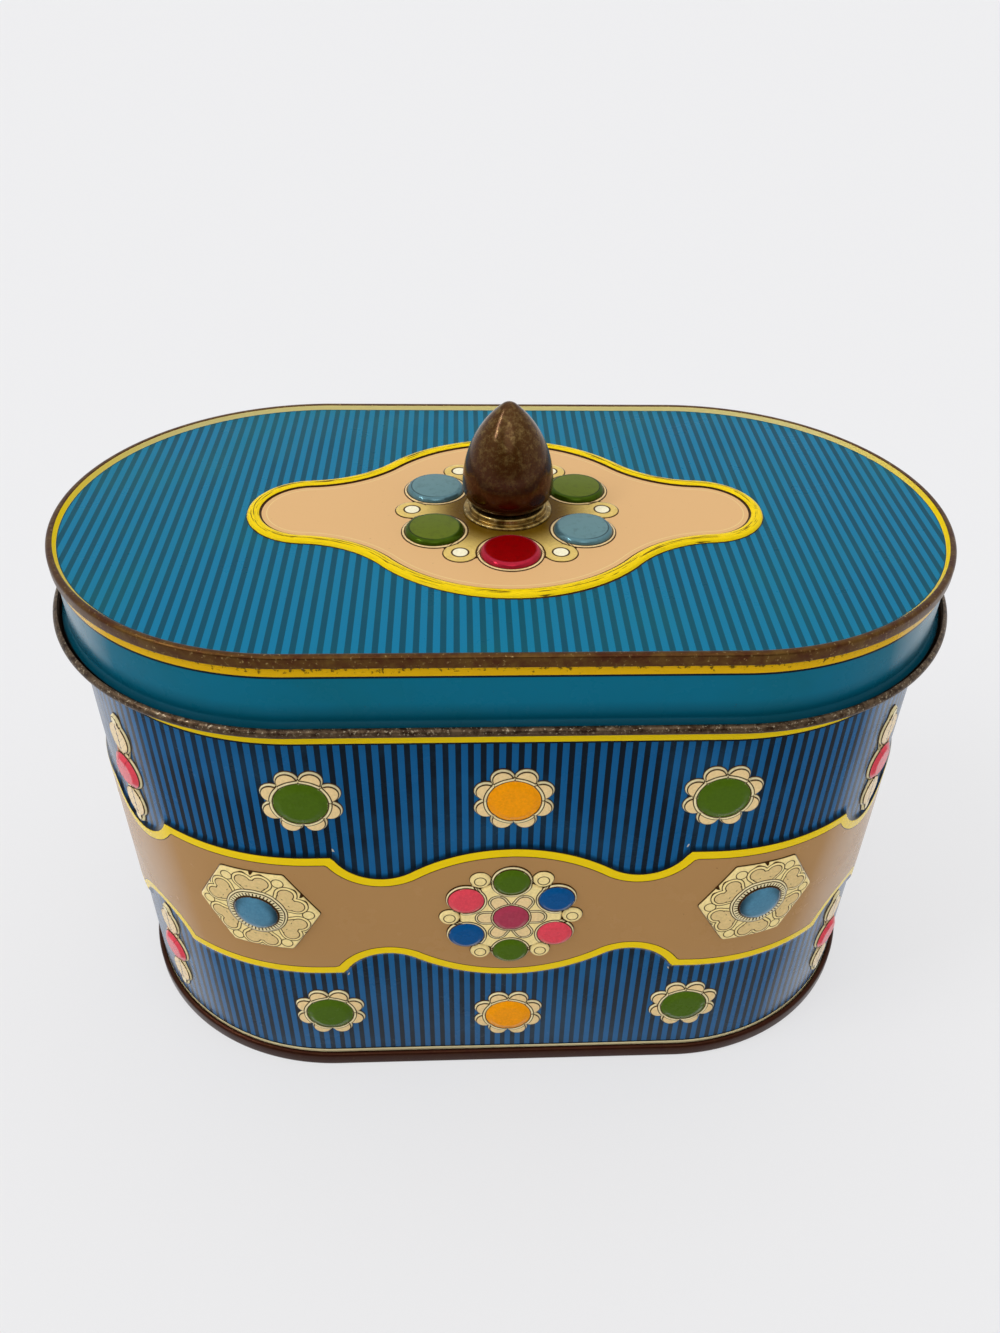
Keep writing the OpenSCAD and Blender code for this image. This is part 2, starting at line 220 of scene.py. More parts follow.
def make_piece(name, points, materials, body, close_rows=False, zones=None, along=None, fields=None):
    """Closed mesh of one or more grids of points, copies by rows by columns, in millimetres.

    Columns always close on themselves, and rows do if close_rows is set. Points that coincide are merged,
    which closes poles. Faces are turned outwards by the sign of the volume that they enclose. zones gives
    the material of each row of faces, along the distances that the columns stand for, and fields the
    named values that the materials read at each point.
    """
    if points.ndim == 3:
        points = points[None]
    copies, rows, cols = points.shape[:3]
    copy, row, col = np.meshgrid(
        np.arange(copies), np.arange(rows if close_rows else rows - 1), np.arange(cols), indexing="ij"
    )
    next_row = (row + 1) % rows
    next_col = (col + 1) % cols
    quad = [(row, col), (row, next_col), (next_row, next_col), (next_row, col)]
    faces = np.stack([(copy * rows + r) * cols + c for r, c in quad], -1).reshape(-1, 4)
    flat = points.reshape(-1, 3) * MM
    a, b, c, d = (flat[faces[:, k]] for k in range(4))
    outwards = np.sum(a * (np.cross(b, c) + np.cross(c, d))) > 0
    order = [0, 1, 2, 3] if outwards else [3, 2, 1, 0]

    mesh = bpy.data.meshes.new(name)
    mesh.from_pydata(flat.tolist(), [], faces[:, order].tolist())
    for key, values in (fields or {}).items():
        kind = "FLOAT" if values.size == len(flat) else "FLOAT_COLOR"
        layer = mesh.attributes.new(key, kind, "POINT")
        layer.data.foreach_set("value" if kind == "FLOAT" else "color", values.astype(np.float32).ravel())
    if along is not None:
        across = np.stack([col, col + 1, col + 1, col], -1).reshape(-1, 4)[:, order]
        down = np.stack([row, row, row + 1, row + 1], -1).reshape(-1, 4)[:, order]
        uv = np.stack([along[across], down], -1)
        mesh.uv_layers.new(name="along").uv.foreach_set("vector", uv.astype(np.float32).ravel())
    for material in materials:
        mesh.materials.append(material)
    if zones is not None:
        mesh.polygons.foreach_set("material_index", np.asarray(zones)[row].ravel().astype(np.int32))

    work = bmesh.new()
    work.from_mesh(mesh)
    bmesh.ops.remove_doubles(work, verts=work.verts, dist=1e-7)
    work.to_mesh(mesh)
    work.free()
    mesh.shade_smooth()
    mesh.set_sharp_from_angle(angle=math.radians(50))
    piece = bpy.data.objects.new(name, mesh)
    bpy.context.scene.collection.objects.link(piece)
    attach(piece, body)
    return piece


def plan(u, r):
    """Point of the oval of end radius r, seen from above, at distance u along the wall.

    The middle of the section runs along the straight sides while its normal turns about the ends:
    x = middle + r sin(turn), y = -r cos(turn).
    """
    v = (u + HALF) % PERIMETER
    end = math.pi * WALL_R
    turn = (np.clip(v - 2 * HALF, 0, end) + np.clip(v - 4 * HALF - end, 0, end)) / WALL_R
    middle = np.clip(v, 0, 2 * HALF) - HALF - np.clip(v - 2 * HALF - end, 0, 2 * HALF)
    return np.stack([middle + r * np.sin(turn), -r * np.cos(turn)], -1)


def on_wall(u, z, out):
    """Point that stands out from the wall's face at a place on the wall."""
    return np.concatenate([plan(u, WALL_R + out), z[..., None]], -1)


def arc(centre, radius, start, stop, steps):
    """Points of a round stretch of a section, between two angles in degrees."""
    angle = np.radians(np.linspace(start, stop, steps))
    return np.array(centre) + radius * np.stack([np.cos(angle), np.sin(angle)], -1)


def rounded(points, steps=5):
    """Section through (radius, height, fillet) points, with each corner turned by an arc of its fillet.

    The arc starts and ends where its centre, at fillet / cos(half turn) along the corner's bisector,
    sees the two sides squarely.
    """
    section = [np.array([points[0][:2]], float)]
    for before, corner, after in zip(points, points[1:], points[2:]):
        here = np.array(corner[:2], float)
        back = np.array(before[:2]) - here
        on = np.array(after[:2]) - here
        back = back / np.linalg.norm(back)
        on = on / np.linalg.norm(on)
        half = math.acos(np.clip(back @ on, -1, 1)) / 2
        bisector = (back + on) / np.linalg.norm(back + on)
        centre = here + bisector * corner[2] / math.sin(half)
        first = here + back * corner[2] / math.tan(half) - centre
        last = here + on * corner[2] / math.tan(half) - centre
        share = np.linspace(0, 1, steps)[:, None]
        chord = first * (1 - share) + last * share
        section.append(centre + chord * corner[2] / np.linalg.norm(chord, axis=1, keepdims=True))
    section.append(np.array([points[-1][:2]], float))
    return np.concatenate(section)


def sheet_section(path):
    """Section of a sheet: its middle line moved half the sheet to the left, and back on the right."""
    run = np.gradient(path, axis=0)
    normal = np.stack([-run[:, 1], run[:, 0]], -1) / np.linalg.norm(run, axis=1, keepdims=True)
    return np.concatenate([path + normal * SHEET / 2, (path - normal * SHEET / 2)[::-1]])


def round_plan(section, columns):
    """A section carried once round the oval plan, its radius kept at or above the plan's middle line."""
    u = np.arange(columns) * PERIMETER / columns
    r = np.maximum(section[:, 0], 0)[:, None]
    z = np.broadcast_to(section[:, 1][:, None], (len(section), columns))
    return on_wall(u[None], z, r - WALL_R)


def turned(section, columns):
    """A half section turned once about the upright axis through the middle of the lid."""
    angle = np.arange(columns) * 2 * math.pi / columns
    r = section[:, 0][:, None]
    z = np.broadcast_to(section[:, 1][:, None], (len(section), columns))
    return np.stack([r * np.cos(angle), r * np.sin(angle), z], -1)


# Band

def from_face(u):
    """Distance along the wall from the middle of the nearer long side."""
    return np.abs((u + PERIMETER / 4) % (PERIMETER / 2) - PERIMETER / 4)


def band_edge(u):
    """Half height of the band: a round bulge at each face, hollow dips beside it and on the ends."""
    w = from_face(u)
    edge = np.full_like(w, BAND_HALF)
    for centre in (DIP_U, END_DIP_U):
        hollow = np.sqrt(np.maximum(DIP_R ** 2 - (w - centre) ** 2, 0))
        edge = np.where(np.abs(w - centre) < DIP_R, np.minimum(edge, DIP_Z - hollow), edge)
    bulge = BULGE_Z + np.sqrt(np.maximum(BULGE_R ** 2 - w ** 2, 0))
    return np.where(w < TOUCH_U, bulge, edge)


def band_inside(u, z):
    """Distance into the band from its outline, below 0 outside it, by the nearest of its lines and arcs."""
    w = from_face(u)
    h = np.abs(z - BAND_Z)
    straight = BAND_HALF - h
    dips = [np.hypot(w - centre, h - DIP_Z) - DIP_R for centre in (DIP_U, END_DIP_U)]
    bulge = BULGE_R - np.hypot(w, h - BULGE_Z)
    return np.where(w < TOUCH_U, bulge, np.minimum(straight, np.minimum(*dips)))


def wall_relief(u, z):
    """How far the wall stands out: the band's rise, and the slight unevenness of pressed sheet."""
    wave = np.sin(u / 23 + 0.6) * np.sin(z / 17 + 1.3) + 0.6 * np.sin(u / 9.5 + z / 14)
    return BAND_RISE * smooth(-BAND_SLOPE, 0.3, band_inside(u, z)) + UNEVEN * wave


# Materials

def add(tree, kind, inputs=None, **settings):
    """Adds a node of a kind with its settings. An input takes a value, an ink, another node's output, or
    another node for its first output."""
    made = tree.nodes.new("ShaderNode" + kind)
    for key, value in settings.items():
        setattr(made, key, value)
    for key, value in (inputs or {}).items():
        if isinstance(value, bpy.types.Node):
            value = value.outputs[0]
        if isinstance(value, bpy.types.NodeSocket):
            tree.links.new(value, made.inputs[key])
        else:
            made.inputs[key].default_value = ink(value) if isinstance(value, str) else value
    return made


def empty_tree(owner):
    """Node tree of a new material or world, emptied."""
    owner.use_nodes = True
    owner.node_tree.nodes.clear()
    return owner.node_tree


def make_material(name, paint, roughness, grain, depth, metallic=0.0, specular=0.5, shine=None):
    """A material with a painted colour, a gloss that varies in patches, and the faint grain of the sheet.

    paint makes the colour from the node tree and the surface's place in millimetres. shine is for varnish
    that hardly mirrors what it faces and shines pale where it turns away: where that starts and ends.
    """
    material = bpy.data.materials.new(name)
    tree = empty_tree(material)
    coordinate = add(tree, "TexCoord").outputs["Object"]
    place = add(tree, "VectorMath", {0: coordinate, "Scale": 1 / MM}, operation="SCALE")
    patches = add(tree, "TexNoise", {"Vector": place, "Scale": 1 / PATCH, "Detail": 5, "Roughness": 0.65})
    gloss = add(tree, "MapRange", {0: patches, 1: 0.3, 2: 0.7, 3: roughness - 0.05, 4: roughness + 0.1})
    fine = add(tree, "TexNoise", {"Vector": place, "Scale": 1 / grain, "Detail": 3})
    bump = add(tree, "Bump", {"Height": fine, "Distance": depth * MM, "Strength": 1.0})
    inputs = {"Base Color": paint(tree, place), "Roughness": gloss, "Normal": bump,
              "Metallic": metallic, "Specular IOR Level": specular}
    if shine:
        turned_away = add(tree, "LayerWeight", {"Blend": 0.5}).outputs["Facing"]
        inputs["IOR"] = add(tree, "MapRange", {0: turned_away, 1: shine[0], 2: shine[1],
                                               3: DULL_IOR, 4: GLARE_IOR})
    shader = add(tree, "BsdfPrincipled", inputs)
    add(tree, "OutputMaterial", {"Surface": shader})
    return material


def fade(tree, under, upper, value, start=0, stop=1, strength=1):
    """Lays one colour over another as a value goes from start to stop, up to a strength."""
    share = add(tree, "MapRange", {0: value, 1: start, 2: stop, 3: 0, 4: strength})
    return add(tree, "Mix", {0: share, 6: under, 7: upper}, data_type="RGBA").outputs[2]


def print_zones(tree, under, distance, stops):
    """Prints flat zones over a colour by a distance: a stop is where a zone starts and its ink, or None
    where the colour under it shows."""
    low = stops[0][0]
    high = stops[-1][0] + 1
    scaled = add(tree, "MapRange", {0: distance, 1: low, 2: high})
    ramp = add(tree, "ValToRGB", {0: scaled})
    ramp.color_ramp.interpolation = "CONSTANT"
    while len(ramp.color_ramp.elements) < len(stops):
        ramp.color_ramp.elements.new(1.0)
    for element, (start, name) in zip(ramp.color_ramp.elements, stops):
        element.position = (start - low) / (high - low)
    for element, (start, name) in zip(ramp.color_ramp.elements, stops):
        element.color = ink(name) if name else (0, 0, 0, 0)
    return fade(tree, under, ramp.outputs["Color"], ramp.outputs["Alpha"])


def stripes(tree, distance, light_ink, dark_ink):
    """Stripes of two inks along a distance, the light ones about 0 and every whole stripe from it."""
    from_stripe = add(tree, "Math", {0: distance, 1: STRIPE / 2}, operation="PINGPONG")
    return print_zones(tree, dark_ink, from_stripe, [(0, light_ink), (STRIPE_LIGHT * STRIPE / 2, dark_ink)])


def wear(tree, place, colour, worn, size, start, stop, strength):
    """Blotches of a worn colour, as large as the given size, where a noise passes from start to stop."""
    noise = add(tree, "TexNoise", {"Vector": place, "Scale": 1 / size, "Detail": 4, "Roughness": 0.6})
    return fade(tree, colour, worn, noise, start, stop, strength)


def wall_paint(tree, place):
    """Lithographed wall: stripes, a bordered band, foot and neck lines, specks and nicks; painted shade
    above the band, painted glare low down.
    """
    uv = add(tree, "UVMap", uv_map="along")
    around = add(tree, "SeparateXYZ", {0: uv}).outputs[0]
    height = add(tree, "SeparateXYZ", {0: place}).outputs[2]
    band = add(tree, "Attribute", attribute_name="band").outputs["Fac"]
    shade = add(tree, "Attribute", attribute_name="shade").outputs["Fac"]
    seam_u = PERIMETER / 2 + LAP_U
    colour = stripes(tree, around, "stripe blue", "stripe black")
    colour = wear(tree, place, colour, "#3d86b8", size=22, start=0.45, stop=0.75, strength=0.12)
    colour = wear(tree, place, colour, "#05070c", size=0.7, start=0.7, stop=0.76, strength=0.5)
    colour = print_zones(tree, colour, band, [(-2, None), (-0.3, "line brown"), (0, "yellow"),
                                              (2.3, "line brown"), (2.55, "band tan")])
    # Painted glare: a faint pale grey-blue over the wall, growing towards its foot, where the wall mirrors
    # the floor.
    colour = fade(tree, colour, "#c4ccd4", height, start=48, stop=8, strength=0.05)
    # Painted shade above the band's upper edge, laid on in near-black.
    colour = fade(tree, colour, "stripe black", shade)
    colour = print_zones(tree, colour, height, [
        (0, "cream"), (5.1, "stripe black"), (5.3, None),
        (NECK_Z - 4.2, "stripe black"), (NECK_Z - 3.75, "yellow"), (NECK_Z, "gold")])
    colour = print_zones(tree, colour, around, [(0, None), (seam_u - 0.2, "line brown"),
                                                (seam_u + 0.2, None)])
    return wear(tree, place, colour, "#2a1806", size=1.1, start=0.71, stop=0.77, strength=0.8)


def ornament_paint(tree, place):
    """Embossed print: each shape's own flat fill under dark brown drawing, faintly mottled and specked."""
    fill = add(tree, "Attribute", attribute_name="fill").outputs["Color"]
    drawing = add(tree, "Attribute", attribute_name="lines")
    curves = add(tree, "SeparateColor", {0: drawing.outputs["Color"]}).outputs
    dark = drawing.outputs["Alpha"]
    for curve in curves:
        near = add(tree, "Math", {0: curve}, operation="ABSOLUTE")
        line = add(tree, "Math", {0: near, 1: LINE}, operation="SUBTRACT")
        dark = add(tree, "Math", {0: dark, 1: line}, operation="MINIMUM")
    noise = add(tree, "TexNoise", {"Vector": place, "Scale": 1 / 0.7, "Detail": 3, "Roughness": 0.7})
    mottle = add(tree, "MapRange", {0: noise, 1: 0.3, 2: 0.7, 3: 0.86, 4: 1.06})
    mottled = add(tree, "Mix", {0: 1.0, 6: fill, 7: mottle}, data_type="RGBA", blend_type="MULTIPLY")
    colour = wear(tree, place, mottled.outputs[2], "#5a3c14", size=0.9, start=0.68, stop=0.76, strength=0.5)
    return fade(tree, colour, "line brown", dark, start=0.05, stop=-0.05)


def jewel_paint(tree, place):
    """Clear lacquer in each jewel's own colour, clouded dark."""
    fill = add(tree, "Attribute", attribute_name="fill").outputs["Color"]
    return wear(tree, place, fill, "#20180c", size=1.4, start=0.5, stop=0.75, strength=0.25)


def lid_paint(tree, place):
    """Lithographed lid panel: blue stripes, and inside the ridge a yellow line painted paler towards the
    back as a painted reflection.
    """
    across, back, _ = add(tree, "SeparateXYZ", {0: place}).outputs
    inset = add(tree, "Attribute", attribute_name="inset").outputs["Fac"]
    colour = stripes(tree, across, "lid blue", "lid black")
    colour = wear(tree, place, colour, "#12716a", size=30, start=0.4, stop=0.7, strength=0.2)
    colour = wear(tree, place, colour, "#0c1a20", size=0.8, start=0.7, stop=0.77, strength=0.6)
    colour = print_zones(tree, colour, inset, [(-1, "lid black"), (RIDGE_SLOPE + 0.35, None)])
    # Painted reflection: the yellow line on the ridge's inner slope is painted paler towards the back.
    line = fade(tree, "yellow", "#cfc48c", back, start=0, stop=45, strength=0.8)
    on_slope = add(tree, "Math", {0: inset, 1: RIDGE_SLOPE + 0.1}, operation="LESS_THAN")
    return fade(tree, colour, line, on_slope)


def cartouche_paint(tree, place):
    """Yellow rib worn to dark metal in streaks, mostly along its crest, round a pinkish tan field."""
    inset = add(tree, "Attribute", attribute_name="inset").outputs["Fac"]
    run = add(tree, "Attribute", attribute_name="run").outputs["Fac"]
    colour = print_zones(tree, "field tan", inset, [
        (-2, "line brown"), (0.1, "yellow"), (BORDER_W - 0.25, "line brown"), (BORDER_W + 0.3, "field tan"),
        (4.6, "heart"), (4.8, "field tan")])
    streak_long = 9
    streak_wide = 0.35
    streak = add(tree, "CombineXYZ", {0: run, 1: inset})
    drawn_out = add(tree, "Mapping", {0: streak, 3: (1 / streak_long, 1 / streak_wide, 1)})
    noise = add(tree, "TexNoise", {"Vector": drawn_out, "Scale": 1, "Detail": 3, "Roughness": 0.6})
    crest = add(tree, "Math", {0: inset, 1: BORDER_W / 2, 2: 0.55}, operation="COMPARE")
    exposed = add(tree, "Math", {0: crest, 1: 0.1, 2: noise}, operation="MULTIPLY_ADD")
    worn = add(tree, "MapRange", {0: exposed, 1: 0.62, 2: 0.68, 3: 0, 4: 0.9})
    on_rib = add(tree, "MapRange", {0: inset, 1: BORDER_W, 2: BORDER_W - 0.3})
    share = add(tree, "Math", {0: worn, 1: on_rib}, operation="MULTIPLY")
    colour = fade(tree, colour, "line brown", share)
    return wear(tree, place, colour, "#7a5a38", size=0.9, start=0.66, stop=0.78, strength=0.35)


def skirt_paint(tree, place):
    """Teal lid skirt with a yellow band under the ridge, its upper edge scuffed, and painted shade darkening
    it above the bead.
    """
    height = add(tree, "SeparateXYZ", {0: place}).outputs[2]
    ridge_foot = LID_TOP - RIDGE_H
    colour = wear(tree, place, "teal", "#0a5a5e", size=26, start=0.42, stop=0.7, strength=0.35)
    colour = print_zones(tree, colour, height, [(0, None), (ridge_foot - 3.2, "stripe black"),
                                                (ridge_foot - 2.9, "skirt yellow")])
    noise = add(tree, "TexNoise", {"Vector": place, "Scale": 1 / 1.1, "Detail": 4, "Roughness": 0.65})
    near_ridge = add(tree, "MapRange", {0: height, 1: ridge_foot - 2.6, 2: ridge_foot, 3: 0, 4: 0.24})
    scuff = add(tree, "Math", {0: noise, 1: near_ridge}, operation="ADD")
    colour = fade(tree, colour, "line brown", scuff, start=0.7, stop=0.78, strength=0.85)
    # Painted shade: the skirt darkens towards the bead, where the flare and the curl shade it.
    return fade(tree, colour, "#03222a", height, start=LID_FOOT + 7, stop=LID_FOOT + 2, strength=0.6)


def knob_paint(tree, place):
    """Spun brass under a dark brown patina with paler rubbed clouds, painted darker and redder at the foot
    and paler towards the tip as a painted reflection.
    """
    height = add(tree, "SeparateXYZ", {0: place}).outputs[2]
    # Painted reflection: darker and redder at the foot, paler towards the tip, where the paler clouds also
    # show.
    tip_sheen_and_wear = add(tree, "MapRange", {0: height, 1: FIELD_Z + 6, 2: FIELD_Z + 21})
    colour = fade(tree, "#360b00", "#4a2c06", tip_sheen_and_wear)
    clouds = add(tree, "TexNoise", {"Vector": place, "Scale": 1 / 1.6, "Detail": 7, "Roughness": 0.75})
    bare = add(tree, "MapRange", {0: clouds, 1: 0.48, 2: 0.7, 3: 0, 4: 0.7})
    share = add(tree, "Math", {0: bare, 1: tip_sheen_and_wear}, operation="MULTIPLY")
    colour = fade(tree, colour, "#8a7240", share)
    return wear(tree, place, colour, "#1c0601", size=0.5, start=0.58, stop=0.7, strength=0.5)


def blotched(base, layers, low=None):
    """Paint of blotches in layers over a base colour. low, if given, is a colour that fades in downwards."""
    def paint(tree, place):
        colour = base
        for layer in layers:
            colour = wear(tree, place, colour, **layer)
        if low:
            height = add(tree, "SeparateXYZ", {0: place}).outputs[2]
            colour = fade(tree, colour, value=height, **low)
        return colour

    return paint


# Soft-gloss varnish over print, and clear lacquer over bright tin for the jewels
WALL_PRINT = make_material("printed_tinplate_wall", wall_paint,
                           roughness=0.22, grain=0.7, depth=0.004, shine=WALL_SHINE)
ORNAMENT_PRINT = make_material("printed_tinplate_ornament", ornament_paint,
                               roughness=0.24, grain=0.6, depth=0.004, shine=WALL_SHINE)
JEWEL = make_material("lacquered_tin_jewel", jewel_paint,
                      roughness=0.16, grain=0.6, depth=0.004, metallic=0.5, specular=0.06)
LID_PRINT = make_material("printed_tinplate_lid", lid_paint,
                          roughness=0.3, grain=0.7, depth=0.008, shine=LID_SHINE)
CARTOUCHE_PRINT = make_material("printed_tinplate_cartouche", cartouche_paint,
                                roughness=0.32, grain=0.6, depth=0.01, shine=LID_SHINE)
SKIRT_PRINT = make_material("printed_tinplate_skirt", skirt_paint,
                            roughness=0.25, grain=0.7, depth=0.008, shine=WALL_SHINE)

# Brown lacquered seam: rubbed dark, redder at the base, with the tin showing as small bright flecks
seam_paint = blotched("#5e4218", [dict(worn="#46220a", size=3, start=0.35, stop=0.65, strength=1),
                                  dict(worn="#a58a58", size=0.8, start=0.6, stop=0.72, strength=0.8)],
                      low=dict(upper="#300e02", start=8, stop=6, strength=0.9))
SEAM = make_material("worn_lacquered_seam", seam_paint, roughness=0.32, grain=0.5, depth=0.04, metallic=0.85)

# Curled edge: bare tin gone grey-brown, with bright scratches and rusty hollows, and painted shade darkening
# its lower part brown
bead_paint = blotched("#5e4c38", [dict(worn="#2e1c0c", size=1.6, start=0.4, stop=0.62, strength=1),
                                  dict(worn="#c6b698", size=0.6, start=0.57, stop=0.7, strength=0.75)],
                      low=dict(upper="#3a2006", start=LID_FOOT + 1.5, stop=LID_FOOT + 0.7, strength=0.85))
BEAD = make_material("worn_tin_bead", bead_paint, roughness=0.34, grain=0.4, depth=0.08, metallic=0.85)

# Unprinted side of the tinplate: dull silver with a warm lacquer and faint spangle
tin_paint = blotched("#cfc9ba", [dict(worn="#b3a88f", size=8, start=0.35, stop=0.7, strength=1),
                                 dict(worn="#5c4a30", size=1.2, start=0.66, stop=0.78, strength=0.6)])
TIN = make_material("bare_tinplate", tin_paint, roughness=0.42, grain=1.2, depth=0.02, metallic=0.7)

# Knob of patinated brass, painted darker at its foot and paler at its tip as a painted reflection, and its
# collar of olive-gold brass, blotched dark and rubbed bright
PATINA = make_material("patinated_brass", knob_paint,
                       roughness=0.15, grain=0.5, depth=0.008, metallic=0.4, specular=0.22)
brass_paint = blotched("#a88c50", [dict(worn="#5f4a20", size=2, start=0.4, stop=0.65, strength=1),
                                   dict(worn="#e0d0a0", size=0.8, start=0.58, stop=0.7, strength=0.8)])
BRASS = make_material("rubbed_brass", brass_paint, roughness=0.3, grain=0.5, depth=0.04, metallic=0.95)

# Stud, washer and nut: zinc-plated steel, dull and spotted
steel_paint = blotched("#a8a6a0", [dict(worn="#6d6558", size=1.5, start=0.45, stop=0.7, strength=0.8)])
STEEL = make_material("plated_steel", steel_paint, roughness=0.4, grain=0.4, depth=0.02, metallic=1.0)


# Sheet pieces

def body_wall():
    """The wrapper: rows follow the band's edges up the outside, round the rim's curl and down the inside."""
    columns = 600
    u = np.arange(columns) * PERIMETER / columns
    edge = band_edge(u)
    level = np.ones_like(u)
    knots = [level, BAND_Z - edge - BAND_SLOPE, BAND_Z - edge + BAND_SLOPE, BAND_Z + edge - BAND_SLOPE,
             BAND_Z + edge + BAND_SLOPE, level * NECK_Z, level * (RIM_Z - RIM_CURL_R)]
    counts = [32, 9, 26, 9, 32, 5]
    outside = np.concatenate([
        low + (high - low) * np.linspace(0, 1, count, endpoint=False)[:, None]
        for low, high, count in zip(knots, knots[1:], counts)
    ])
    inside = outside[::-4]
    centre = (WALL_R - RIM_CURL_R, RIM_Z - RIM_CURL_R)
    curl = np.concatenate([arc(centre, RIM_CURL_R, 0, 270, 13),
                           arc(centre, RIM_CURL_R - SHEET, 270, 0, 11)])
    z = np.concatenate([outside, np.repeat(curl[:, 1:], columns, 1), inside])
    around = np.broadcast_to(u, z.shape)
    out = np.zeros_like(z)
    out[:len(outside)] = wall_relief(around[:len(outside)], outside)
    out[len(outside):-len(inside)] = curl[:, :1] - WALL_R
    out[-len(inside):] = wall_relief(around[:len(inside)], inside) - SHEET
    zones = np.ones(len(z), int)
    zones[:len(outside)] = 0
    band = band_inside(around, z)
    # Painted shade: a dark strip on the wall just above the band's upper edge, where the raised band shades
    # it.
    shade = 0.85 * smooth(-1.5, -0.5, band) * (band < 0) * (z > BAND_Z)
    piece = make_piece("printed_wall", on_wall(around, z, out), [WALL_PRINT, TIN], "canister",
                       close_rows=True, zones=zones, along=np.arange(columns + 1) * PERIMETER / columns,
                       fields={"band": band, "shade": shade})
    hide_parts("body_wall")


def side_seam():
    """Lapped strip of the side seam, inside the back wall."""
    x = np.array([-1, 1, 1, -1]) * LAP_W / 2 - LAP_U
    y = WALL_R - np.array([3, 3, 1, 1]) * SHEET
    low = np.stack([x, y, np.full(4, BASE_RECESS + BASE_SEAM_H)], -1)
    high = np.stack([x, y, np.full(4, RIM_Z - 2 * RIM_CURL_R)], -1)
    ends = [np.broadcast_to(end.mean(0), end.shape) for end in (low, high)]
    make_piece("wall_side_seam", np.stack([ends[0], low, high, ends[1]]), [TIN], "canister")


def base_plate():
    """Sunken base panel, its edge folded out and up round the foot of the wall."""
    inner = WALL_R - 1.5 * SHEET - FOLD_GAP
    outer = WALL_R + BASE_SEAM_OUT - SHEET / 2
    hook = WALL_R + SHEET
    panel = BASE_RECESS + SHEET / 2
    foot = SHEET / 2
    crown = BASE_SEAM_H - SHEET / 2
    path = rounded([(0, panel), (inner, panel, 0.4), (inner, foot, 0.35), (outer, foot, 0.8),
                    (outer, crown, 0.8), (hook, crown, 0.3), (hook, BASE_SEAM_H / 2)])
    section = sheet_section(path)
    upper = np.arange(len(section)) < len(path)
    zones = np.where(upper & (section[:, 1] > BASE_RECESS) & (section[:, 0] < inner), 1, 0)
    piece = make_piece("base_seam", round_plan(section, 360), [SEAM, TIN], "canister",
                       zones=zones)
    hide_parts("base_plate")


def lid_skirt():
    """Skirt hung from the ridge, flared at its foot and curled outwards through three quarters of a turn."""
    bead_r = BEAD_OUT - BEAD_R
    bead_z = LID_FOOT + BEAD_R
    flare_z = bead_z + BEAD_FLARE
    side = rounded([(SKIRT_R, LID_TOP - 2 * SHEET), (SKIRT_R, flare_z, 0.8), (SKIRT_R + BEAD_FLARE, bead_z)])
    path = np.concatenate([side[:-1], arc((bead_r, bead_z), BEAD_R - SHEET / 2, 180, 450, 22)])
    section = sheet_section(path)
    zones = np.ones(len(section), int)
    zones[:len(side) - 1] = 0
    zones[-len(side):] = 2
    piece = make_piece("printed_skirt", round_plan(section, 480), [SKIRT_PRINT, BEAD, TIN], "lid",
                       close_rows=True, zones=zones)
    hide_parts("lid_skirt")


def lid_panel():
    """Sunken lid panel, its edge folded up, out and down over the skirt as a ridge."""
    inner = SKIRT_R - SHEET - FOLD_GAP
    outer = SKIRT_R + RIDGE_OUT
    hook = outer - 0.55
    low = PANEL_Z - SHEET / 2
    high = LID_TOP - SHEET / 2
    foot = LID_TOP - RIDGE_H + SHEET / 2
    field = [(r, low) for r in np.linspace(0, inner - 2, 40)]
    edge = rounded([(inner - 1.9, low), (inner - RIDGE_SLOPE, low, 0.4), (inner, high, 0.5),
                    (outer, high, 0.6), (outer, foot, 0.3), (hook, foot, 0.2), (hook, high - 1.5)])
    path = np.concatenate([field, edge])
    section = sheet_section(path)
    points = round_plan(section, 420)
    x, y = points[..., 0], points[..., 1]
    dent = 0.06 * np.sin(x / 19 + 0.4) * np.sin(y / 15 + 1.1)
    flat = np.broadcast_to((section[:, 0] < inner - 1.8)[:, None], dent.shape)
    points[..., 2] += np.where(flat, dent * smooth(0, 12, inner - section[:, :1]), 0)
    inset = np.broadcast_to(inner - section[:, :1], dent.shape)
    top = np.arange(len(section)) < len(path)
    zones = np.where(top, np.where(section[:, 0] > inner - 0.2, 1, 0), 2)
    piece = make_piece("printed_lid", points, [LID_PRINT, SEAM, TIN], "lid", zones=zones,
                       fields={"inset": inset})
    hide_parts("lid_panel")


def cartouche_point(corner_angles, inset):
    """Outline of the cartouche moved inwards: a round middle and two round noses, joined by hollow arcs.

    Each arc keeps its centre, and its points lie along the outline's normal: at radius less inset on the
    middle and the noses, and at radius plus inset, on the other side of the centre, in the hollows.
    """
    cx, cy, radius, sign, angle = corner_angles
    reach = sign * radius - inset
    return np.stack([cx + reach * np.cos(angle), cy + reach * np.sin(angle)], -1)


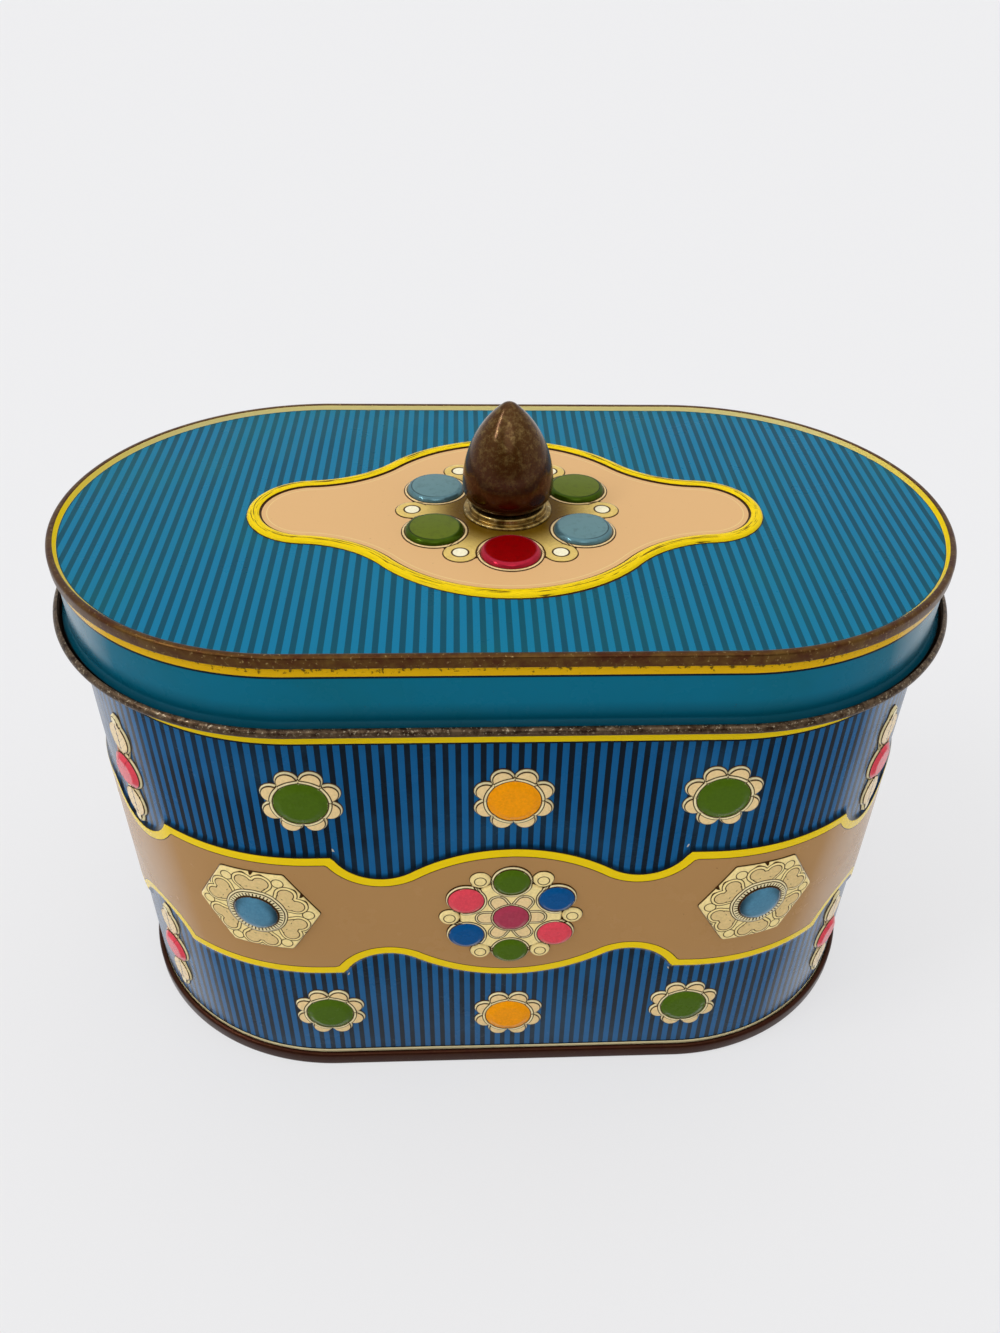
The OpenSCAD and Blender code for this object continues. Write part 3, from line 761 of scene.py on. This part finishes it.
def cartouche_arcs(step):
    """Centre, radius, sign and normal angle at even steps round the cartouche."""
    mid_reach = CARTOUCHE_R + HOLLOW_R
    nose_reach = NOSE_R + HOLLOW_R
    hollow_x = (mid_reach ** 2 - nose_reach ** 2 + NOSE_X ** 2) / (2 * NOSE_X)
    hollow_y = math.sqrt(mid_reach ** 2 - hollow_x ** 2)
    at_nose = math.atan2(hollow_y, hollow_x - NOSE_X)
    at_middle = math.atan2(hollow_y, hollow_x)
    quarter = [(NOSE_X, 0, NOSE_R, 1, 0, at_nose), (hollow_x, hollow_y, HOLLOW_R, -1, at_nose, at_middle),
               (0, 0, CARTOUCHE_R, 1, at_middle, math.pi / 2)]
    parts = []
    for cx, cy, radius, sign, start, stop in quarter:
        count = round(radius * abs(stop - start) / step)
        angle = np.linspace(start, stop, count, endpoint=False)
        parts.append(np.stack([np.full(count, v, float) for v in (cx, cy, radius, sign)] + [angle]))
    first = np.concatenate(parts, 1)
    last = np.array([[0], [0], [CARTOUCHE_R], [1], [math.pi / 2]])
    half_turn = np.array([0, 0, 0, 0, math.pi])[:, None]
    mirrored = first[:, :0:-1] * np.array([-1, 1, 1, 1, -1])[:, None] + half_turn
    half = np.concatenate([first, last, mirrored], 1)
    other = half * np.array([-1, -1, 1, 1, 1])[:, None] + half_turn
    return np.concatenate([half, other], 1)


def lid_cartouche():
    """Raised rib round the cartouche and the field inside it, closed underneath."""
    corner_angles = cartouche_arcs(0.6)
    sunk = -0.15
    beyond = BORDER_W + np.array([0.4, 1.2, 1.8])
    across = np.concatenate([[-0.5], np.linspace(0, BORDER_W, 13), beyond])
    share = across / BORDER_W
    crest = np.sqrt(np.clip(1 - (2 * share - 1) ** 2, 0, 1))
    rise = np.where(share < 0.5, BORDER_RISE * crest, FIELD_RISE + (BORDER_RISE - FIELD_RISE) * crest)
    rise[0] = sunk
    rise[share > 1] = FIELD_RISE
    border = np.stack([cartouche_point(corner_angles, d) for d in across])
    shrink = np.linspace(1, 0, 24)[1:]
    xy = np.concatenate([border[:1] * 0, border, border[-1:] * shrink[:, None, None]])
    z = PANEL_Z + np.concatenate([[sunk], rise, np.full(len(shrink), FIELD_RISE)])
    inset = np.concatenate([[0], across, across[-1] + 30 * (1 - shrink)])
    step = np.linalg.norm(np.diff(border[0], axis=0, append=border[0][:1]), axis=1)
    run = np.concatenate([[0], np.cumsum(step)[:-1]])
    z, inset, run = (np.broadcast_to(row, xy.shape[:2]) for row in (z[:, None], inset[:, None], run))
    points = np.concatenate([xy, z[..., None]], -1)
    make_piece("lid_cartouche", points, [CARTOUCHE_PRINT], "lid",
               fields={"inset": inset, "run": run})


# Ornaments

def folded(turn, parts, offset=0.0):
    """Angle from the nearest of so many equal axes."""
    step = 2 * math.pi / parts
    return (turn - offset + step / 2) % step - step / 2


def painted(fill, *layers):
    """Lays inks over a fill, one after the other: a layer is where it goes and its ink."""
    for where, name in layers:
        fill = np.where(where[..., None], ink(name), fill)
    return fill


def petals(r, aside, ring, radius):
    """Distance into round petals whose sides run straight to the middle, by the angle from their axes."""
    return radius - np.hypot(np.maximum(r * np.cos(aside) - ring, 0), r * np.sin(aside))


def plate(inside):
    """Height of an ornament's plate, which slopes up from its outline."""
    return PLATE_RISE * smooth(0, PLATE_SLOPE, inside)


def ringed(value, low, high):
    """Above 0 between two distances and 0 at both, where a pair of lines is drawn."""
    return (high - low) / 2 - np.abs(value - (low + high) / 2)


def flower(x, y, jewel):
    """Eight round petals about a jewel: cream edges, drawn arches and a cream ring."""
    jewel_r = 6.1
    jewel_slope = 2.2
    ring_r = 6.85
    crest_r = 6.5
    edge_w = 0.6
    r = np.hypot(x, y)
    aside = folded(np.arctan2(y, x), 8, PETAL_TURN / 2)
    inside = petals(r, aside, PETAL_RING, PETAL_R)
    fill = painted(ink("cream"), (inside > edge_w, "petal"), (r < ring_r, "cream"), (r < jewel_r, jewel))
    arches = np.where(r > ring_r, inside - edge_w, FAR)
    lines = np.stack([arches, ringed(r, jewel_r, ring_r), inside - 0.08, np.full_like(r, FAR)], -1)
    h = plate(inside) + 0.12 * smooth(0.4, 1.8, inside) + 0.2 * smooth(0.5, 0, np.abs(r - crest_r))
    return inside, h + JEWEL_RISE * smooth(jewel_r, jewel_r - jewel_slope, r), fill, lines


WALL_CLUSTER = {"ring": 12.6, "rim": 5.0, "rim ink": "cream", "jewel": 4.4,
                "lobe ring": 15.0, "lobe": 2.7, "dot": 1.4, "dot ink": "pale gold",
                "inks": ["blue", "green", "pink"] * 2}
LID_CLUSTER = {"ring": LID_JEWEL_RING, "rim": 7.8, "rim ink": "petal", "jewel": LID_JEWEL_R,
               "lobe ring": 22.8, "lobe": 4.1, "dot": 1.9, "dot ink": "pearl",
               "inks": ["lid green", "red", "sky"] * 2,
               "lit and shaded bevels": ["shaded bevel green", "lit bevel red", "shaded bevel sky"] * 2}


def jewel_ring(x, y, shape, fill):
    """Six rimmed jewels with dotted lobes between them, printed over a fill.

    Gives the angle from the nearest lobe's axis, the distances from the nearest jewel and into the plate,
    the fill, and the lines of rims and edges.
    """
    r = np.hypot(x, y)
    turn = np.arctan2(y, x)
    at_jewel = folded(turn, 6, math.pi / 6)
    at_lobe = folded(turn, 6)
    jewel = np.hypot(r * np.cos(at_jewel) - shape["ring"], r * np.sin(at_jewel))
    lobe = np.hypot(r * np.cos(at_lobe) - shape["lobe ring"], r * np.sin(at_lobe))
    inside = np.maximum(np.maximum(shape["rim"] - jewel, shape["lobe"] - lobe), shape["ring"] - r)
    count = np.round((turn - math.pi / 6) / (math.pi / 3)).astype(int) % 6
    jewels = [((jewel < shape["jewel"]) & (count == k), name) for k, name in enumerate(shape["inks"])]
    fill = painted(fill, (lobe < shape["dot"], shape["dot ink"]),
                   (jewel < shape["rim"], shape["rim ink"]), *jewels)
    rims = ringed(jewel, shape["jewel"], shape["rim"])
    edges = np.maximum(shape["dot"] - lobe, 0.1 - inside)
    return at_lobe, jewel, inside, fill, rims, edges


def wall_cluster(x, y):
    """Six rimmed jewels and six lobes about a petalled jewel, on a gold plate."""
    jewel_r = WALL_CLUSTER["jewel"]
    jewel_slope = 1.6
    rim_r = 4.9
    crest_r = 4.75
    petal_r = 2.35
    petal_ring = 6.4
    edge_w = 0.55
    r = np.hypot(x, y)
    at_petal, jewel, inside, fill, rims, edges = jewel_ring(x, y, WALL_CLUSTER, ink("pale gold"))
    petal = petals(r, at_petal, petal_ring, petal_r)
    clear = (jewel > WALL_CLUSTER["rim"]) & (r > rim_r)
    fill = painted(fill, (clear & (petal > 0), "cream"), (clear & (petal > edge_w), "petal"),
                   (r < rim_r, "cream"), (r < jewel_r, "magenta"))
    arches = np.where(clear, ringed(petal, 0, edge_w), -FAR)
    rims = np.maximum(rims, ringed(r, jewel_r, rim_r))
    lines = np.stack([rims, arches, edges, np.full_like(r, FAR)], -1)
    h = plate(inside) + 0.18 * smooth(0.5, 0, np.abs(jewel - crest_r)) + 0.12 * smooth(0, 1.2, petal)
    return inside, h + JEWEL_RISE * smooth(jewel_r, jewel_r - jewel_slope, np.minimum(jewel, r)), fill, lines


def lid_cluster(x, y):
    """Plate under the lid's jewels: mottled gold, darker towards the knob, with rimmed seats and lobes."""
    bold = 0.62
    plate_rise = 0.25
    pale = smooth(11.5, 22, np.hypot(x, y))[..., None]
    gold = ink("dark gold") * (1 - pale) + ink("gold") * pale
    _, _, inside, fill, rims, edges = jewel_ring(x, y, LID_CLUSTER, gold)
    none = np.full_like(inside, FAR)
    lines = np.stack([bold * rims, bold * edges, none, none], -1)
    return inside, plate_rise * smooth(0, 0.6, inside), fill, lines


def plaque(x, y):
    """Hexagon with drawn heart petals, ringed corners, a beaded ring and a domed cabochon with painted shade
    on its left and right sides.
    """
    ring_r = 7.5
    ring_rise = 0.4
    ring_inside = 6.9
    edge_w = 0.8
    beads = 44
    bead_r = 6.15
    bead_pitch = 2 * math.pi * 6.1 / beads
    r = np.hypot(x, y)
    turn = np.arctan2(y, x)
    at_flat = folded(turn, 6, math.pi / 6)
    at_corner = folded(turn, 6)
    along = r * np.cos(at_flat)
    across = np.abs(r * np.sin(at_flat))
    inside = np.minimum(PLAQUE_R * math.cos(math.pi / 6) - along, PLAQUE_R - 0.15 - r)
    lobes = 2.7 - np.hypot(along - 10.2, across - 2.2)
    middle = 2.35 - np.hypot(along - 9.4, across)
    stem = np.where(along < 8.3, (along - 4.18 - across) / math.sqrt(2), -FAR)
    heart = np.maximum(np.maximum(lobes, middle), stem)
    corner = np.hypot(r * np.cos(at_corner) - 12.4, r * np.sin(at_corner))
    fill = painted(ink("pale gold"), (heart > edge_w, "heart"), (r < ring_r, "cream"),
                   (r < CABOCHON_R, "cabochon"))
    # Painted shade: the cabochon darkens towards its left and right sides.
    cabochon_side_shade = 0.85 * smooth(3.2, 5.2, r) * np.abs(np.cos(turn)) ** 1.5 * (r < CABOCHON_R)
    fill = fill * (1 - cabochon_side_shade)[..., None]
    hearts = np.where(r > ring_r, ringed(heart, 0, edge_w), -FAR)
    edges = np.maximum(1.4 - corner, 0.12 - inside)
    notch = across - 0.9 * (along - 12.5)
    between = 0.5 - np.abs(turn * beads / (2 * math.pi) % 1 - 0.5)
    bead_line = np.maximum(between * bead_pitch - 0.17, np.abs(r - bead_r) - 0.45)
    dark = np.minimum(np.minimum(bead_line, notch), np.abs(r - 5.5) - 0.22)
    lines = np.stack([hearts, edges, ringed(r, ring_inside, ring_r), dark], -1)
    h = plate(inside) + 0.12 * smooth(0, 0.9, heart) + ring_rise * smooth(7.6, 6.6, r)
    dome = np.sqrt(np.clip(1 - (r / CABOCHON_R) ** 2, 0, 1))
    return inside, h + (CABOCHON_RISE - ring_rise) * dome, fill, lines


def end_ornament(x, y):
    """Jewel with a filigree leaf and a bud above and below it."""
    jewel_r = 5.0
    jewel_slope = 1.8
    rim_r = 5.6
    leaf_up = 10
    leaf_long = 5
    leaf_wide = 4.3
    leaf_arc = (leaf_long ** 2 + leaf_wide ** 2) / (2 * leaf_wide)
    bud_up = 15
    bud_r = 2.0
    edge_w = 0.6
    vein_step = 1.9
    r = np.hypot(x, y)
    up = np.abs(y)
    leaf = leaf_arc - np.hypot(np.abs(x) + leaf_arc - leaf_wide, up - leaf_up)
    bud = bud_r - np.hypot(x, up - bud_up)
    inside = np.maximum(np.maximum(rim_r - r, leaf), bud)
    fill = painted(ink("cream"), (leaf > edge_w, "petal"), (r < rim_r, "cream"), (r < jewel_r, "pink"))
    veins = np.abs((up - 1.1 * np.abs(x)) % vein_step - vein_step / 2)
    veins = np.where((leaf > edge_w) & (r > rim_r), np.minimum(veins, np.abs(x)) - 0.14, FAR)
    shapes = np.where(r > rim_r, np.maximum(leaf - edge_w, bud - 0.8), -FAR)
    lines = np.stack([shapes, ringed(r, jewel_r, rim_r), inside - 0.1, veins], -1)
    return inside, plate(inside) + JEWEL_RISE * smooth(jewel_r, jewel_r - jewel_slope, r), fill, lines


def ornament_grid(paint, reach, rings, columns):
    """Local grid of an ornament: rings from its middle to its outline, then back under it in the sheet.

    In each direction the outline lies where the distance into the shape last passes 0.
    """
    probes = 800
    turn = np.arange(columns) * 2 * math.pi / columns
    probe = np.linspace(0, reach, probes)[:, None]
    inside = paint(probe * np.cos(turn), probe * np.sin(turn))[0]
    edge = reach * (1 - np.argmax(inside[::-1] >= 0, axis=0) / (probes - 1))
    share = np.concatenate([np.linspace(0, 0.94, rings), [0.96, 0.98, 1]])
    r = share[:, None] * edge
    x = r * np.cos(turn)
    y = r * np.sin(turn)
    _, h, fill, lines = paint(x, y)
    h[-1] = 0
    back = np.linspace(1, 0, 5)[:, None]
    x = np.concatenate([x, x[-1:] * back])
    y = np.concatenate([y, y[-1:] * back])
    h = np.concatenate([h, np.full((len(back), columns), -SHEET / 2)])
    fill = np.concatenate([fill, np.repeat(fill[-1:], len(back), 0)])
    lines = np.concatenate([lines, np.repeat(lines[-1:], len(back), 0)])
    return x, y, h, fill, lines


def on_wall_piece(name, paints, reach, rings, columns):
    """One piece of like ornaments at places on the wall, each laid on the wall's own relief."""
    points = []
    fills = []
    drawings = []
    for u, z, paint in paints:
        x, y, h, fill, lines = ornament_grid(paint, reach, rings, columns)
        points.append(on_wall(u + x, z + y, wall_relief(u + x, z + y) + h))
        fills.append(fill)
        drawings.append(lines)
    make_piece(name, np.stack(points), [ORNAMENT_PRINT], "canister",
               fields={"fill": np.stack(fills), "lines": np.stack(drawings)})


def wall_ornaments():
    """Flowers, clusters, plaques and end ornaments, alike on the front and the back."""
    faces = (0, PERIMETER / 2)

    def coloured(name):
        return lambda x, y: flower(x, y, name)

    flowers = [(face + u, z, coloured(name)) for face in faces for z in (FLOWER_TOP_Z, FLOWER_LOW_Z)
               for u, name in ((-FLOWER_U, "green"), (FLOWER_U, "green"), (QUARTER_U, "orange"))]
    flowers += [(face, z, coloured("orange")) for face in faces for z in (FLOWER_TOP_Z, FLOWER_BULGE_Z)]
    clusters = [(face, BAND_Z, wall_cluster) for face in faces]
    ends = [(face + u, z, end_ornament) for face in faces for u in (-END_DIP_U, END_DIP_U)
            for z in (END_TOP_Z, END_LOW_Z)]
    on_wall_piece("wall_flowers", flowers, reach=11, rings=34, columns=144)
    on_wall_piece("wall_clusters", clusters, reach=20, rings=80, columns=300)
    for face, side in zip(faces, ("front", "back")):
        plaques = [(face + u, PLAQUE_Z, plaque) for u in (-PLAQUE_U, PLAQUE_U, QUARTER_U)]
        on_wall_piece("wall_plaques_" + side, plaques, reach=17, rings=74, columns=300)
    on_wall_piece("wall_end_ornaments", ends, reach=18, rings=56, columns=160)


def lid_ornaments():
    """Gold plate on the lid's field, and six jewels with rounded shoulders seated on it.

    The four jewels at the left and right have painted shade, a dark crescent on the outer front of their top
    edge; the bevels are painted with the red one lighter and the others darker, as painted light and shade.
    """
    x, y, h, fill, lines = ornament_grid(lid_cluster, reach=30, rings=90, columns=360)
    make_piece("lid_jewel_plate", np.stack([x, y, FIELD_Z + h], -1), [ORNAMENT_PRINT], "lid",
               fields={"fill": fill, "lines": lines})
    columns = 72
    seat = 0.1
    foot = 0.2
    sag = 0.15
    top_r = LID_JEWEL_R - LID_JEWEL_BEVEL
    shoulder = arc((0, 0), 1, 0, 90, 9) * [LID_JEWEL_BEVEL, LID_JEWEL_RISE - sag - foot] + [top_r, foot]
    top = [[top_r - 0.25, LID_JEWEL_RISE - 0.14], [0.4 * LID_JEWEL_R, LID_JEWEL_RISE - 0.05],
           [0, LID_JEWEL_RISE]]
    side = np.concatenate([[[0, seat], [LID_JEWEL_R, seat]], shoulder, top])
    one = turned(side, columns)
    turns = math.pi / 6 + math.pi / 3 * np.arange(6)
    middles = LID_JEWEL_RING * np.stack([np.cos(turns), np.sin(turns), 0 * turns], -1)
    points = one[None] + middles[:, None, None] + [0, 0, FIELD_Z]
    bevel = (side[:, 0] > top_r - 0.1)[:, None]
    # Painted light and shade: each jewel's bevel gets a lighter (red) or darker (green, sky) copy of its
    # colour.
    fill = np.stack([painted(ink(name), (bevel, edge))
                     for name, edge in zip(LID_CLUSTER["inks"], LID_CLUSTER["lit and shaded bevels"])])
    # Painted shade: a dark crescent on the outer front of the top edge of the four side jewels.
    outer = np.arctan2(-0.6 * np.abs(middles[:, 0]), middles[:, 0])
    round_jewel = np.arange(columns) * 2 * math.pi / columns
    crescent_shade = smooth(0.3, 0.8, np.cos(round_jewel - outer[:, None])) * (np.abs(middles[:, :1]) > 1)
    at_top_edge = np.abs(side[:, 0] - top_r) < 0.1
    fill = fill * (1 - 0.8 * crescent_shade[:, None, :, None] * at_top_edge[:, None, None])
    make_piece("lid_jewels", points, [JEWEL], "lid", fields={"fill": fill})


# Knob

def knob():
    """Acorn knob: a round foot, the widest place upright, and a long side arc that runs into a round tip.

    The side arc touches the tip's circle from outside it: the distance of their centres is the
    difference of their radii, which gives the side's radius.
    """
    tip_climb = KNOB_H - KNOB_TIP_R - KNOB_WIDE_Z
    side_r = (KNOB_R ** 2 + tip_climb ** 2 - KNOB_TIP_R ** 2) / (2 * (KNOB_R - KNOB_TIP_R))
    foot_run = KNOB_R - KNOB_FOOT_R
    foot_drop = KNOB_WIDE_Z - COLLAR_H
    foot_r = (foot_run ** 2 + foot_drop ** 2) / (2 * foot_run)
    foot_angle = math.degrees(math.asin(foot_drop / foot_r))
    side_angle = math.degrees(math.atan2(tip_climb, side_r - KNOB_R))
    foot = arc((KNOB_R - foot_r, KNOB_WIDE_Z), foot_r, -foot_angle, 0, 16)
    side = arc((KNOB_R - side_r, KNOB_WIDE_Z), side_r, 0, side_angle, 40)
    tip = arc((0, KNOB_H - KNOB_TIP_R), KNOB_TIP_R, side_angle, 90, 12)
    tip[-1, 0] = 0
    section = np.concatenate([[[0, COLLAR_H]], foot, side[1:], tip[1:]])
    points = turned(section, 96) + [0, 0, FIELD_Z]
    piece = make_piece("knob", points, [PATINA], "lid")
    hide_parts("knob_shell")


def collar():
    """Stepped collar: a round lower rim, a groove and a smaller upper step."""
    rim = arc((COLLAR_R - COLLAR_STEP / 2, COLLAR_STEP / 2), COLLAR_STEP / 2, -90, 90, 11)
    step = rounded([(COLLAR_TOP_R + 0.3, COLLAR_STEP - 0.05), (COLLAR_TOP_R, COLLAR_STEP - 0.05, 0.15),
                    (COLLAR_TOP_R, COLLAR_H, 0.5), (KNOB_FOOT_R - 0.5, COLLAR_H)])
    section = np.concatenate([[[0, 0]], rim, step, [[0, COLLAR_H]]])
    points = turned(section, 96) + [0, 0, FIELD_Z]
    piece = make_piece("knob_collar_ring", points, [BRASS], "lid")
    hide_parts("knob_collar")


def fasteners():
    """The hidden stud, washer and nut keep their CAD shape."""
    for name in ("knob_stud", "knob_washer", "knob_nut"):
        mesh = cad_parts[name].data
        mesh.materials.clear()
        mesh.materials.append(STEEL)


body_wall()
side_seam()
base_plate()
lid_skirt()
lid_panel()
lid_cartouche()
wall_ornaments()
lid_ornaments()
knob()
collar()
fasteners()


# Stage

def floor():
    """Plain pale floor, wide enough to fill the view."""
    size = 6.0
    pale = "#ebebec"
    material = bpy.data.materials.new("pale_floor")
    tree = empty_tree(material)
    lit = add(tree, "BsdfDiffuse", {"Color": pale})
    glow = add(tree, "Emission", {"Color": pale})
    ray = add(tree, "LightPath").outputs
    seen = add(tree, "Math", {0: ray["Is Camera Ray"], 1: ray["Is Glossy Ray"]}, operation="MAXIMUM")
    share = add(tree, "Math", {0: seen, 1: 0.72}, operation="MULTIPLY")
    mix = add(tree, "MixShader", {0: share, 1: lit, 2: glow})
    add(tree, "OutputMaterial", {"Surface": mix})
    mesh = bpy.data.meshes.new("floor")
    square = [(-size, -size, 0), (size, -size, 0), (size, size, 0), (-size, size, 0)]
    mesh.from_pydata(square, [], [(0, 1, 2, 3)])
    mesh.materials.append(material)
    ground = bpy.data.objects.new("floor", mesh)
    bpy.context.scene.collection.objects.link(ground)


def light():
    """Soft white light, dim from the front where the viewer stands, brighter from above, a softbox over the
    viewer and a narrow window at the left. The camera itself sees plain pale air."""
    world = bpy.data.worlds.new("studio")
    bpy.context.scene.world = world
    tree = empty_tree(world)
    direction = add(tree, "TexCoord").outputs["Generated"]

    def towards(aim):
        """Cosine of the angle between a direction of the sky and an aim."""
        unit = Vector(aim).normalized()
        return add(tree, "VectorMath", {0: direction, 1: unit}, operation="DOT_PRODUCT").outputs["Value"]

    window_top = Vector((-0.61, -0.06, 0.79)).normalized()
    window_foot = Vector((-0.71, -0.36, 0.6)).normalized()
    off_line = add(tree, "Math", {0: towards(window_top.cross(window_foot))}, operation="ABSOLUTE")
    pane = add(tree, "MapRange", {0: off_line, 1: 0.035, 2: 0.02, 3: 0, 4: 28})
    within = add(tree, "MapRange", {0: towards(window_top + window_foot), 1: 0.97, 2: 0.98})
    room = add(tree, "MapRange", {0: towards((0, -0.98, 0.2)), 1: 0.6, 2: 0.9, 3: 0.78, 4: 0.2})
    above = add(tree, "MapRange", {0: towards((0, 0, 1)), 1: 0.6, 2: 0.9, 3: 0, 4: 0.45})
    softbox = add(tree, "MapRange", {0: towards((0, -0.7, 0.72)), 1: 0.94, 2: 0.98, 3: 0, 4: 1.6})
    strength = add(tree, "Math", {0: pane, 1: within}, operation="MULTIPLY")
    for glow in (softbox, above, room):
        strength = add(tree, "Math", {0: glow, 1: strength}, operation="ADD")
    seen = add(tree, "LightPath").outputs["Is Camera Ray"]
    shown = add(tree, "Mix", {0: seen, 2: strength, 3: 0.89})
    background = add(tree, "Background", {"Color": "#fdfdff", "Strength": shown})
    add(tree, "OutputWorld", {"Surface": background})
    bpy.context.scene.view_settings.view_transform = "Standard"


def camera():
    """Camera at the photograph's place: back along its view from a target, rolled, and shifted as framed."""
    frame_h = 1333
    focal_px = 1098.7
    shift_px = Vector((19.2, 54.1))
    target = Vector((4.4, 0, 73.8)) * MM
    distance = 305.7 * MM
    elevation = math.radians(39.65)
    yaw = math.radians(-3.75)
    roll = math.radians(1.78)
    level = Vector((math.sin(yaw), -math.cos(yaw), 0))
    back = math.cos(elevation) * level + Vector((0, 0, math.sin(elevation)))
    right = (-back).cross(Vector((0, 0, 1))).normalized()
    up = back.cross(right)
    x_axis = math.cos(roll) * right + math.sin(roll) * up
    y_axis = math.cos(roll) * up - math.sin(roll) * right
    data = bpy.data.cameras.new("camera")
    data.lens = data.sensor_width * focal_px / frame_h
    data.shift_x = -shift_px.x / frame_h
    data.shift_y = shift_px.y / frame_h
    data.clip_start = 0.01
    view = bpy.data.objects.new("camera", data)
    view.matrix_world = Matrix((x_axis, y_axis, back)).transposed().to_4x4()
    view.location = target + back * distance
    bpy.context.scene.collection.objects.link(view)
    bpy.context.scene.camera = view


floor()
light()
camera()
